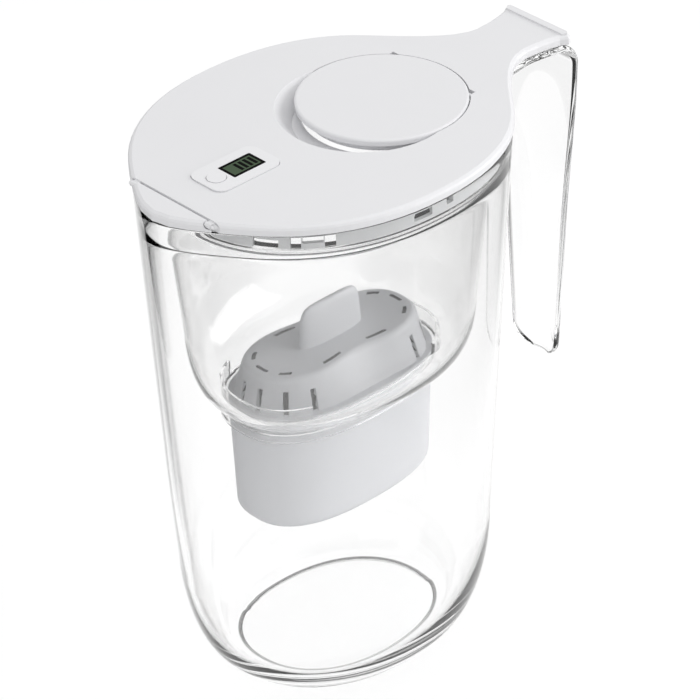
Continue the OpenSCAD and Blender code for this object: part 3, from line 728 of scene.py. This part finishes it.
@dataclass
class Handle:
    """The clear hook handle: a flat root under the lid's tail, a bend and a bowed grip."""

    grip_x: float = 132.5
    w_top: float = 22.0
    w_end: float = 13.5
    t: float = 3.8
    bow: float = 5.0
    flare: float = 4.0
    bend_r: float = 9.5
    end_z: float = 90.0
    top: float = 268.0
    root_x: float = 81.5
    haunch: float = 7.0
    end_round: float = 12.0
    end_thin: float = 2.4
    edge_t: float = 1.0
    edge_from: float = 0.94
    flare_z: float = 78.0
    plate_out: float = 0.5
    waist: tuple[float, float] = (111.5, 15.8)
    tail: tuple[float, float] = (137.5, 20.5)

    def tail_half(self, x: Array) -> Array:
        """Half width of the lid's tail at x: even to the waist, then wider as the way squared."""
        way = np.maximum(0, (x - self.waist[0]) / (self.tail[0] - self.waist[0]))
        return self.waist[1] + (self.tail[1] - self.waist[1]) * way ** 2

    def root(self, bend_x: float) -> Array:
        """Stations under the lid's tail: level, thinning by a smooth step up to the bend.

        Args:
            bend_x: Where the bend starts.

        Returns:
            Array (m, 7) of x, z, direction, thickness, half width, bulge and share of width left.
        """
        u = np.linspace(0.12, 1, 50)[:-1]
        smooth = np.minimum(1, u * u * (3 - 2 * u) * 1.4)
        x = self.root_x + (bend_x - self.root_x) * u
        return np.stack([x, np.full_like(u, self.top), np.full_like(u, 90.0),
                         self.haunch + (self.t - self.haunch) * smooth,
                         self.tail_half(x) + self.plate_out,
                         np.zeros_like(u), np.ones_like(u)], axis=-1)

    def bend(self, bend_x: float) -> Array:
        """Stations round the bend, a quarter circle from level to upright.

        Args:
            bend_x: Where the bend starts.

        Returns:
            Array (m, 7), as root gives it.
        """
        plate = float(self.tail_half(np.array(bend_x))) + self.plate_out
        v = np.linspace(0, 1, 30)[:-1]
        turn = v * math.pi / 2
        return np.stack([bend_x + self.bend_r * np.sin(turn),
                         self.top - self.bend_r * (1 - np.cos(turn)),
                         90 * (1 - v), np.full_like(v, self.t), plate + (self.w_top - plate) * v,
                         np.zeros_like(v), np.ones_like(v)], axis=-1)

    def grip(self) -> Array:
        """Stations down the grip: it flares out above flare_z over its end and narrows downwards.

        The half width falls with the way to the power 1.5, and near the lower end it is
        cut by the root of 1 - 0.97 e squared, with e from 0 to 1 over the end's rounding.

        Returns:
            Array (m, 7), as root gives it.
        """
        last = np.linspace(0, 1, 40)[1:]
        w = np.concatenate([np.linspace(0, 0.9, 90), 1 - 0.1 * (1 - last) ** 2])
        start = self.top - self.bend_r
        z = start + (self.end_z - start) * w
        low = self.end_z + self.flare_z
        f = np.clip((z - low) / (start - low), 0, 1)
        f = f * f * (3 - 2 * f)
        e = np.maximum(0, 1 - (z - self.end_z) / self.end_round)
        left = np.sqrt(1 - 0.97 * e * e)
        half = (self.w_top + (self.w_end - self.w_top) * w ** 1.5) * left
        return np.stack([self.grip_x + self.t + self.flare * f, z, np.zeros_like(w),
                         np.full_like(w, self.t), half, self.bow * (1 - f), left], axis=-1)

    def hook(self) -> Piece:
        """Makes the handle: at each station an arc across, thinner at its edges.

        With v from -1 to 1 across, the arc stands out by bulge * (1 - (v * left) squared).

        Returns:
            The handle's object.
        """
        bend_x = self.grip_x + self.t + self.flare - self.bend_r
        st = np.concatenate([self.root(bend_x), self.bend(bend_x), self.grip()])
        x0, z0, angle, thick, half, bulge, left = (st[:, i][:, None] for i in range(7))
        v = np.sin(np.linspace(-1, 1, 81) * math.pi / 2)[None, :]
        out = bulge * (1 - (v * left) ** 2)
        side = np.clip((np.abs(v) - self.edge_from) / (1 - self.edge_from), 0, 1) ** 2
        foot = (np.clip(1 - (z0 - self.end_z) / self.end_thin, 0, 1) * (angle == 0)) ** 2
        edge = (thick - self.edge_t) / 2 * np.maximum(side, foot)
        turn = np.radians(angle)
        halves = []
        for depth in (edge, thick - edge):
            d = out - depth
            x, z = x0 + d * np.cos(turn), z0 + d * np.sin(turn)
            halves.append(np.stack([x, -v * half, z], axis=-1))
        rings = np.concatenate([halves[0], halves[1][:, ::-1]], axis=1)
        return sheet_mesh("jug_handle_clear", rings, ends=True, sharp_deg=50.0)

    def build(self, mats: Materials) -> None:
        """Builds the handle in clear plastic."""
        hang(self.hook(), mats["clear"], "jug", "clear_plastic", "jug_handle")


@dataclass
class Bowl:
    """The clear reservoir that hangs on the jug's ledge and holds the cartridge."""

    jug: Jug = field(default_factory=Jug)
    a: float = 78.845
    b: float = 67.345
    draft: float = 6.0
    wall: float = 1.8
    lip: float = 4.0
    gap: float = 0.4
    dish: float = 34.0
    seat_z: float = 140.8
    seat_a: float = 54.4
    seat_b: float = 32.15
    collar: float = 2.1
    drop: float = 4.0
    rise: float = 5.0
    cup_n: float = 2.5
    edge: float = 0.5
    seat_grip: float = 0.6
    guard: float = 9.0
    guard_faces: tuple[float, float] = (1.85, 0.45)
    guard_share: float = 0.83

    @property
    def rim_z(self) -> float:
        """Underside of the rim."""
        return self.jug.ledge + 0.2

    @property
    def dish_z(self) -> float:
        """Height at which the dished floor leaves the collar."""
        return self.seat_z + self.rise

    def side(self, z: float, inset: float) -> Array:
        """The bowl's outline at the height z: an oval that leans in downwards."""
        d = (self.rim_z - z) * math.tan(math.radians(self.draft)) + inset
        return oval(self.a - d, self.b - d, self.jug.square, self.jug.around)

    def seat(self, out: float, z: float) -> Array:
        """Ring of the cartridge seat at the height z, out by some millimetres."""
        return at_z(oval(self.seat_a + out, self.seat_b + out, self.cup_n, self.jug.around), z)

    def rim(self, z: float, inset: float) -> Array:
        """Ring of the rim at the height z, just inside the jug."""
        jug, d = self.jug, self.jug.rim_wall + self.gap + inset + self.jug.lean(z)
        return at_z(oval(jug.half_len - d, jug.half_wid - d, jug.square, jug.around), z)

    def floor(self, t: float, inset: float, lift: float) -> Array:
        """Ring of the dished floor: a quarter-ellipse from the collar up to the wall.

        Args:
            t: Angle on the quarter-ellipse, 0 at the collar, 90 at the wall.
            inset: The wall's thickness, 0 outside.
            lift: How far the collar's end is raised, 0 outside.

        Returns:
            Array (k, 3).
        """
        wall = self.side(self.dish_z + self.dish, inset)
        collar = self.seat(self.collar - inset, 0.0)[:, :2]
        a = math.radians(t)
        height = self.dish_z + lift + (self.dish - lift) * (1 - math.cos(a))
        return at_z(collar + (wall - collar) * math.sin(a), height)

    def outside(self) -> list[Array]:
        """Rings from the collar's lower edge up the outside to the rim.

        Returns:
            The rings, from below upwards.
        """
        foot = self.seat_z - self.drop
        rings = [self.seat(self.collar - self.edge, foot), self.seat(self.collar, foot + 0.6)]
        rings += [self.floor(t, 0, 0) for t in np.linspace(0, 90, 22)]
        heights = np.linspace(self.dish_z + self.dish, self.rim_z, 24)[1:]
        return rings + [at_z(self.side(z, 0), z) for z in heights]

    def turn(self) -> list[Array]:
        """Rings round the rim, from its underside over its top to the inside.

        Returns:
            The rings, from outside to inside.
        """
        r, w, e = self.rim_z, self.wall, self.edge
        top = r + self.lip
        outer = [(r, e), (r + 0.4, 0), (top - e, 0), (top, e)]
        inner = [(top, w - 0.4), (top - e, w), (r + w + 0.3, w), (r + w, w + 0.3)]
        return [self.rim(z, inset) for z, inset in outer + inner]

    def inside(self) -> list[Array]:
        """Rings from the rim down the inside and through the cartridge seat.

        Returns:
            The rings, from above downwards.
        """
        w, top = self.wall, self.dish_z + self.wall
        heights = np.linspace(self.rim_z + w, self.dish_z + self.dish, 24)
        rings = [at_z(self.side(z, w), z) for z in heights]
        rings += [self.floor(t, w, w) for t in np.linspace(90, 0, 22)[1:-1]]
        rings += [self.seat(0.35, top), self.seat(0, top - self.edge), self.seat(0, self.seat_z)]
        low = (self.seat_z, self.seat_z - self.drop)
        return rings + [self.seat(-self.seat_grip, z) for z in low]

    def skin(self) -> Piece:
        """Makes the bowl as one skin that closes on itself through the cartridge seat.

        Returns:
            The bowl's object.
        """
        rings = self.outside() + self.turn() + self.inside()
        return sheet_mesh("bowl_clear", np.stack(rings), loop=True)

    def end_guard(self, name: str, turn: float) -> Piece:
        """Makes one upright guard, a band that follows the oval of the seat at one end.

        Args:
            name: The object's name.
            turn: 1 at the rear, -1 at the front.

        Returns:
            The guard's object.
        """
        y = np.linspace(-1, 1, 41)
        t = np.arcsin(np.clip(np.abs(y) * self.guard_share, 0, 1) ** (self.cup_n / 2)) * np.sign(y)
        c, d = signed_pow(np.cos(t), 2 / self.cup_n), signed_pow(np.sin(t), 2 / self.cup_n)
        outer, inner = [np.stack([(self.seat_a + o) * c, (self.seat_b + o) * d], axis=-1)
                        for o in self.guard_faces]
        section = np.concatenate([outer, inner[::-1]])
        top = self.dish_z + self.guard
        rings = np.stack([at_z(section, z) for z in (self.dish_z + 1.0, top - 0.2, top)])
        rings[:, :, 0] *= turn
        return sheet_mesh(name, rings if turn > 0 else rings[:, ::-1], ends=True)

    def build(self, mats: Materials) -> None:
        """Builds the bowl and its two guards in clear plastic.

        Args:
            mats: Materials by finish name.
        """
        hang(self.skin(), mats["bowl"], "funnel", "clear_plastic", "reservoir")
        for name, turn in (("bowl_guard_rear", 1.0), ("bowl_guard_front", -1.0)):
            hang(self.end_guard(name, turn), mats["bowl"], "funnel", "clear_plastic")


@dataclass
class Cartridge:
    """The oval cartridge: white cup with a flange, pale grey slotted cap with a domed pull tab."""

    half_len: float = 53.0
    half_wid: float = 30.75
    gap: float = 0.4
    flange_z: float = 141.0
    height: float = 55.5
    draft: float = 1.9
    wall: float = 1.6
    flange: float = 1.0
    flange_t: float = 2.4
    edge: float = 0.3
    round: float = 3.5
    cap_h: float = 22.0
    cap_in: float = 1.6
    cap_step: tuple[float, float] = (3.6, 4.0)
    cap_round: float = 2.4
    taper: tuple[float, float] = (5.0, 6.5)
    waist: tuple[float, float] = (0.2, 17.0)
    square: float = 2.5
    around: int = 960
    slot_angles: tuple[float, ...] = (-57.0, -34.0, -7.0, 7.0, 34.0, 57.0)
    slot_w: float = 2.2
    slot_z: tuple[float, float] = (4.5, 15.5)
    slot_deep: float = 3.2
    slot_side: float = 0.33
    arc_spans: tuple[tuple[float, float], ...] = ((-1.0, 7.5), (22.5, 37.5), (67.5, 82.5))
    arc_in: float = 4.0
    arc_w: float = 1.4
    arc_deep: float = 1.2
    arc_side: float = 0.2
    tab: tuple[float, float, float] = (37.0, 8.5, 20.0)
    tab_square: float = 2.6

    @property
    def base(self) -> float:
        """Height of the cap's foot, on the flange."""
        return self.flange_z + self.flange_t

    def cup_ring(self, z: float, inset: float) -> Array:
        """Ring of the cup at the height z."""
        d = (self.flange_z - z) * math.tan(math.radians(self.draft)) + inset + self.gap
        return at_z(oval(self.half_len - d, self.half_wid - d, self.square, self.around), z)

    def cap_ring(self, z: float, inset: float) -> Array:
        """Ring of the cap: it tapers, and waists in at the middle by 20 % at the deck.

        Args:
            z: Height.
            inset: How far it is drawn in.

        Returns:
            Array (k, 3).
        """
        u = (z - self.base) / self.cap_h
        p = oval(self.half_len - self.cap_in - self.taper[0] * u - inset,
                 self.half_wid - self.cap_in - self.taper[1] * u - inset, self.square, self.around)
        p[:, 1] *= 1 - self.waist[0] * u * np.exp(-(p[:, 0] / self.waist[1]) ** 2)
        return at_z(p, z)

    def cup(self) -> Piece:
        """Makes the cup as one open-topped skin: rounded foot, leaning wall, flange, inside.

        Returns:
            Its object.
        """
        low, top, e = self.flange_z - self.height, self.base, self.edge
        foot, out = low + self.round, -self.flange
        path = [(low, self.round)] + fillet(low, foot, self.round, 0.0, 8, Leaves.ACROSS)
        path += [(z, 0.0) for z in np.linspace(foot, self.flange_z, 12)[1:]]
        path += [(self.flange_z, out + e)]
        path += fillet(self.flange_z, self.flange_z + e, out + e, out, 3, Leaves.ACROSS)
        path += [(top - e, out)] + fillet(top - e, top, out, out + e, 3, Leaves.UP)
        path += [(top, self.wall), (foot, self.wall), (low + self.wall, self.wall + 2.1)]
        rings = np.stack([self.cup_ring(z, o) for z, o in path])
        return sheet_mesh("cartridge_cup_white", rings, ends=True)

    def deck_insets(self) -> list[float]:
        """Insets of the deck's rings: each side of the arc grooves' two walls, then inwards."""
        near, far, side = self.arc_in, self.arc_in + self.arc_w, self.arc_side
        return [near - side, near, near + side, far - side, far, far + side, 8.0, 12.0, 16.0]

    def cap_skin(self) -> Array:
        """Rings of the cap without its grooves: foot, leaning side, rounded edge, deck.

        Returns:
            Array (m, k, 3).
        """
        deck = self.base + self.cap_h
        foot, step = self.cap_step
        lip = self.cup_ring(self.flange_z, -self.flange * 0.6)[:, :2]
        hem = ((1.0, 0.0), (1.0, foot), (0.994, step))
        rings = [at_z(lip * share, self.base + up) for share, up in hem]
        heights = np.linspace(self.base + step, deck - self.cap_round, 38)
        rings += [self.cap_ring(z, 0.0) for z in heights]
        shoulder = fillet(deck - self.cap_round, deck, 0.0, self.cap_round, 8, Leaves.UP)
        rings += [self.cap_ring(z, o) for z, o in shoulder]
        return np.stack(rings + [self.cap_ring(deck, o) for o in self.deck_insets()])

    def slots(self, grid: Array) -> tuple[Array, Array]:
        """Works out the upright grooves at both ends of the cap.

        A groove sinks the skin along the outline's normal where a point lies within half
        a slot's width of the slot's middle line, with side walls slot_side wide.

        Args:
            grid: The skin's points.

        Returns:
            The shift of each point, and how far each is inside a groove, from 0 to 1.
        """
        push, near = np.zeros_like(grid), np.zeros(grid.shape[:2])
        z = grid[:, :, 2] - self.base
        low, high = self.slot_z
        band = np.clip(np.minimum(z - low, high - z) / 0.5 + 0.5, 0, 1)
        power = 2 / self.square
        halves = np.array([self.half_len, self.half_wid])
        for turn in (0.0, 180.0):
            for slot in self.slot_angles:
                t = math.radians(slot + turn)
                way = np.array([np.cos(t), np.sin(t)])
                at = halves * signed_pow(way, power)
                out = halves[::-1] * signed_pow(way, 2 - power)
                out = out / np.linalg.norm(out)
                rel = grid[:, :, :2] - at
                across = np.abs(rel[..., 0] * -out[1] + rel[..., 1] * out[0])
                close = np.abs(rel @ out) < 9.0
                here = np.clip((self.slot_w / 2 - across) / self.slot_side + 0.5, 0, 1)
                here = here * band * close
                push[..., :2] -= out * (here * self.slot_deep)[..., None]
                near = np.maximum(near, here)
        return push, near

    def cap(self) -> Piece:
        """Makes the cap: the skin with its upright grooves, and arc grooves in the deck.

        Returns:
            Its object; the faces in the grooves have material number 1, the painted shade.
        """
        grid = self.cap_skin()
        push, near = self.slots(grid)
        angle = np.degrees(np.arange(self.around) * 2 * math.pi / self.around)
        folded = np.abs(((angle + 90) % 180) - 90)
        first = len(grid) - len(self.deck_insets()) + 1
        for start, end in self.arc_spans:
            span = (folded > start) & (folded < end)
            push[first:first + 4, span, 2] = -self.arc_deep
            near[first:first + 4, span] = 1.0
        made = sheet_mesh("cartridge_cap_grey", grid + push, ends=True)
        # faces mostly inside a groove get material 1, painted shade for the slots and deck grooves
        corners = near[:-1], np.roll(near[:-1], -1, axis=1), near[1:], np.roll(near[1:], -1, axis=1)
        dark = (sum(corners) / 4 > 0.45).astype(np.int32).ravel()
        index = np.zeros(len(made.data.polygons), dtype=np.int32)
        index[:len(dark)] = dark
        made.data.polygons.foreach_set("material_index", index)
        return made

    def grip(self) -> Piece:
        """Makes the pull tab: ovals that draw in upwards and close over in a dome.

        With v from 0 at the deck to 1 at the top and dome = 1 - v to the power 7, the
        length falls with dome to the power 0.16 and the thickness with its root.

        Returns:
            Its object.
        """
        wide, thick, tall = self.tab
        deck = self.base + self.cap_h
        upper = np.sin(np.linspace(0, math.pi / 2, 26)[1:])
        u = np.concatenate([np.linspace(-0.05, 0.6, 14), 1 - 0.4 * (1 - upper)])
        rings = []
        for share in u:
            v = max(0.0, float(share))
            dome = max(1e-4, 1 - v ** 7)
            a, b = wide / 2 * (1 - 0.07 * v) * dome ** 0.16, thick / 2 * (1 - 0.3 * v) * dome ** 0.5
            rings.append(at_z(oval(a, b, self.tab_square, 160), deck + tall * float(share)))
        return sheet_mesh("cartridge_tab_grey", np.stack(rings), ends=True, sharp_deg=80.0)

    def build(self, mats: Materials) -> None:
        """Builds cup, cap and tab, and dresses the screens and the filter medium.

        Args:
            mats: Materials by finish name.
        """
        dress(mats, {"inlet_screen": "weave", "outlet_screen": "weave", "filter_medium": "carbon"})
        hang(self.cup(), mats["cup"], "cartridge", "pale_grey_plastic", "cartridge_cup")
        cap = hang(self.cap(), mats["cap"], "cartridge", "grey_plastic", "cartridge_cap")
        # material 1 is the painted shade of the grooves
        cap.data.materials.append(mats["shade"])
        hang(self.grip(), mats["cap"], "cartridge", "grey_plastic")


@dataclass
class Lid:
    """The lid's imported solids: cover, inner skirt, flip disc with its plug ring, spout flap."""

    finish: dict[str, str] = field(default_factory=lambda: {
        "lid_cover": "white",
        "lid_liner": "skirt",
        "flip_disc": "white",
        "flip_liner": "white",
        "spout_flap": "white",
    })

    def build(self, mats: Materials) -> None:
        """Dresses the lid's solids."""
        dress(mats, self.finish)


@dataclass
class Timer:
    """The change timer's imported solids: bezel, case, button, window, cell, board, battery."""

    finish: dict[str, str] = field(default_factory=lambda: {
        "timer_bezel": "bright",
        "timer_case": "bright",
        "reset_button": "bright",
        "lcd_window": "display",
        "lcd_panel": "board",
        "zebra_strips": "rubber",
        "timer_board": "board",
        "tact_switch": "rubber",
        "coin_cell": "cell",
        "battery_contact": "brass",
    })

    def display(self) -> Display:
        """Works out the display's finish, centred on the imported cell.

        Returns:
            The finish.
        """
        low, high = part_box("lcd_panel")
        middle = ((low[0] + high[0]) / 2 / MM, (low[1] + high[1]) / 2 / MM)
        return Display("liquid_crystal_cell", centre=middle)

    def build(self, mats: Materials) -> None:
        """Dresses the timer's solids."""
        dress(mats | {"display": self.display().material()}, self.finish)


@dataclass(frozen=True)
class Lamp:
    """One square soft lamp: where it hangs, the point it faces, its side in metres, its watts."""

    name: str
    at: tuple[float, float, float]
    look: tuple[float, float, float]
    size: float
    watts: float

    def build(self) -> None:
        """Hangs the lamp."""
        data = bpy.data.lights.new(self.name, "AREA")
        data.shape = "RECTANGLE"
        data.size = data.size_y = self.size
        data.energy = self.watts
        back = np.array(self.at) - np.array(self.look)
        back /= np.linalg.norm(back)
        side = np.cross([0.0, 0.0, 1.0], back)
        side /= np.linalg.norm(side)
        place(bpy.data.objects.new(self.name, data), side, np.cross(back, side), back, self.at)


@dataclass
class Studio:
    """White sweep, soft lamps and dark cards that give the clear walls their edges."""

    camera_at: tuple[float, float, float] = (-1.0341, -1.1161, 1.1491)
    azimuth: float = -43.11
    elevation: float = 33.41
    roll: float = -1.29
    focal_px: float = 3943.6
    centre_px: tuple[float, float] = (379.7, 348.8)
    picture_px: float = 700.0
    ring: tuple[float, float] = (51.9, 40.4)
    ring_dark: tuple[float, float, float] = (0.015, 0.04, 0.2)
    flank: tuple[float, float, float] = (0.16, 0.24, 0.85)
    floor_glow: float = 1.08
    floor_share: float = 0.75
    room_fill: float = 0.55
    card_h: float = 0.22
    cards: tuple[tuple[str, float, float, float], ...] = (
        ("card_left", -0.34, -0.1, 0.9), ("card_right", 0.36, 0.3, 0.9))
    ahead: tuple[float, float] = (0.683, 0.730)
    right: tuple[float, float] = (0.730, -0.683)
    lamps: tuple[Lamp, ...] = (
        Lamp("top_softbox", (0.1, 0.0, 1.6), (0.0, 0.0, 0.2), 1.6, 7.0),
        Lamp("front_softbox", (-1.6, -0.9, 1.1), (0.0, 0.0, 0.15), 1.2, 6.0),
        Lamp("side_softbox", (1.3, -1.1, 0.7), (0.0, 0.0, 0.15), 1.2, 16.0))

    def camera(self) -> None:
        """Places the camera at the photograph's viewing angle."""
        az, el, ro = (math.radians(v) for v in (self.azimuth, self.elevation, self.roll))
        back = np.array([math.sin(az) * math.cos(el), -math.cos(az) * math.cos(el), math.sin(el)])
        right = np.array([math.cos(az), math.sin(az), 0.0])
        up = np.cross(back, right)
        right, up = (math.cos(ro) * right + math.sin(ro) * up,
                     math.cos(ro) * up - math.sin(ro) * right)
        data = bpy.data.cameras.new("camera")
        data.sensor_width = 36.0
        data.lens = self.focal_px * data.sensor_width / self.picture_px
        data.shift_x = 0.5 - self.centre_px[0] / self.picture_px
        data.shift_y = self.centre_px[1] / self.picture_px - 0.5
        data.clip_end = 20.0
        camera = bpy.data.objects.new("camera", data)
        bpy.context.scene.camera = place(camera, right, up, back, self.camera_at)

    def sweep(self) -> None:
        """Lays the pale floor: three quarters glow where it is seen, matte paper to the lamps."""
        s = 6.0
        obj = quad("floor", [(-s, -s, 0), (s, -s, 0), (s, s, 0), (-s, s, 0)])
        mat, tree = new_tree("paper_sweep_matte")
        seen, bent = self.seen(tree)
        strength = math_node(tree, "MULTIPLY", self.contact(tree), self.flanks(tree, bent))
        paper = add(tree, "ShaderNodeBsdfDiffuse", {"Color": linear("F4F4F4")})
        glow = add(tree, "ShaderNodeEmission", {"Color": WHITE}, {"Strength": strength})
        share = math_node(tree, "MULTIPLY", seen, self.floor_share)
        mix = add(tree, "ShaderNodeMixShader", {},
                  {0: share, 1: paper.outputs["BSDF"], 2: glow.outputs["Emission"]})
        finish_tree(tree, mix.outputs["Shader"])
        obj.data.materials.append(mat)

    def seen(self, tree: Tree) -> tuple[Socket, Socket]:
        """Adds a test for rays that show a surface: from the camera, mirrored or bent.

        Args:
            tree: The tree it goes into.

        Returns:
            One for such rays, else zero; and one for bent rays alone, else zero.
        """
        path = add(tree, "ShaderNodeLightPath")
        camera, mirrored, bent = [path.outputs[f"Is {kind} Ray"]
                                  for kind in ("Camera", "Glossy", "Transmission")]
        direct = math_node(tree, "MAXIMUM", camera, mirrored)
        return math_node(tree, "MAXIMUM", direct, bent), bent

    def contact(self, tree: Tree) -> Socket:
        """Darkens the paper under the ring the jug stands on, where no light gets in.

        With x and y from the jug's axis over the ring's half length and half width, q is
        the sum of both to the power 2.15. The paper is darkest where q is within 0.015 of
        1 and at full strength from 0.04 on.

        Args:
            tree: The paper's node tree.

        Returns:
            The strength of the paper's glow.
        """
        where = object_coords(tree)
        axes = add(tree, "ShaderNodeSeparateXYZ", {}, {"Vector": where})
        terms = []
        for axis, shift, half in (("X", AXIS_X, self.ring[0]), ("Y", 0.0, self.ring[1])):
            off = math_node(tree, "SUBTRACT", axes.outputs[axis], shift * MM)
            share = math_node(tree, "DIVIDE", math_node(tree, "ABSOLUTE", off, 0.0), half * MM)
            terms.append(math_node(tree, "POWER", share, Jug.square))
        away = math_node(tree, "SUBTRACT", math_node(tree, "ADD", *terms), 1.0)
        near = math_node(tree, "ABSOLUTE", away, 0.0)
        start, end, dark = self.ring_dark
        ramp = {"From Min": start, "From Max": end, "To Min": dark, "To Max": self.floor_glow}
        return add(tree, "ShaderNodeMapRange", ramp, {"Value": near}).outputs["Result"]

    def flanks(self, tree: Tree, bent: Socket) -> Socket:
        """Darkens the paper left and right of the pitcher, for rays bent in clear walls only.

        With s the way to the camera's right, the paper is white up to 0.16 m from the
        middle and falls to 15 % at 0.24 m, which draws dark lines along clear edges.

        Args:
            tree: The paper's node tree.
            bent: One for rays that come through a clear piece.

        Returns:
            A factor for the strength of the paper's glow.
        """
        where = object_coords(tree)
        side = add(tree, "ShaderNodeVectorMath", {1: (*self.right, 0.0)}, {0: where},
                   operation="DOT_PRODUCT")
        away = math_node(tree, "ABSOLUTE", side.outputs["Value"], 0.0)
        start, end, most = self.flank
        ramp = {"From Min": start, "From Max": end, "To Min": 0.0, "To Max": most}
        dark = add(tree, "ShaderNodeMapRange", ramp, {"Value": away}).outputs["Result"]
        return math_node(tree, "SUBTRACT", 1.0, math_node(tree, "MULTIPLY", dark, bent))

    def world(self) -> None:
        """Sets a plain world: white where it is seen, and a low even fill for matte surfaces."""
        world = bpy.data.worlds.new("room")
        bpy.context.scene.world = world
        world.use_nodes = True
        tree = world.node_tree
        tree.nodes.clear()
        fill, white = [add(tree, "ShaderNodeBackground", {"Color": WHITE, "Strength": level})
                       for level in (self.room_fill, 1.0)]
        seen = self.seen(tree)[0]
        mix = add(tree, "ShaderNodeMixShader", {},
                  {0: seen, 1: fill.outputs[0], 2: white.outputs[0]})
        out = add(tree, "ShaderNodeOutputWorld")
        tree.links.new(mix.outputs[0], out.inputs["Surface"])

    def card(self, name: str, side: float, near: float, far: float) -> None:
        """Stands one black card that only mirrored and refracted rays meet.

        Args:
            name: The card's name.
            side: How far it stands to the camera's right, in metres.
            near: Where it starts, ahead of the pitcher's middle.
            far: Where it ends.
        """
        ahead, right = np.array(self.ahead), np.array(self.right)
        a, b = right * side + ahead * near, right * side + ahead * far
        obj = quad(name, [(*a, 0.0), (*b, 0.0), (*b, self.card_h), (*a, self.card_h)])
        mat, tree = new_tree(name)
        black = add(tree, "ShaderNodeBsdfDiffuse", {"Color": linear("0C0C0C")})
        finish_tree(tree, black.outputs[0])
        obj.data.materials.append(mat)
        obj.visible_camera = False
        obj.visible_diffuse = False
        obj.visible_shadow = False

    def build(self) -> None:
        """Sets up camera, floor, world, lamps and cards."""
        self.camera()
        self.sweep()
        self.world()
        for lamp in self.lamps:
            lamp.build()
        for card in self.cards:
            self.card(*card)
        bpy.context.scene.view_settings.view_transform = "Standard"
        cycles = bpy.context.scene.cycles
        cycles.max_bounces = cycles.transmission_bounces = cycles.transparent_max_bounces = 24
        cycles.glossy_bounces = 8
        cycles.caustics_reflective = False
        cycles.caustics_refractive = True


def main() -> None:
    """Builds every sub-assembly in order."""
    logging.basicConfig(level=logging.INFO, format="%(name)s: %(message)s")
    mats = Wardrobe().materials()
    jug = Jug()
    for part in (jug, Handle(), Bowl(jug), Cartridge(), Lid(), Timer()):
        part.build(mats)
    Studio().build()


if __name__ == "__main__":
    main()
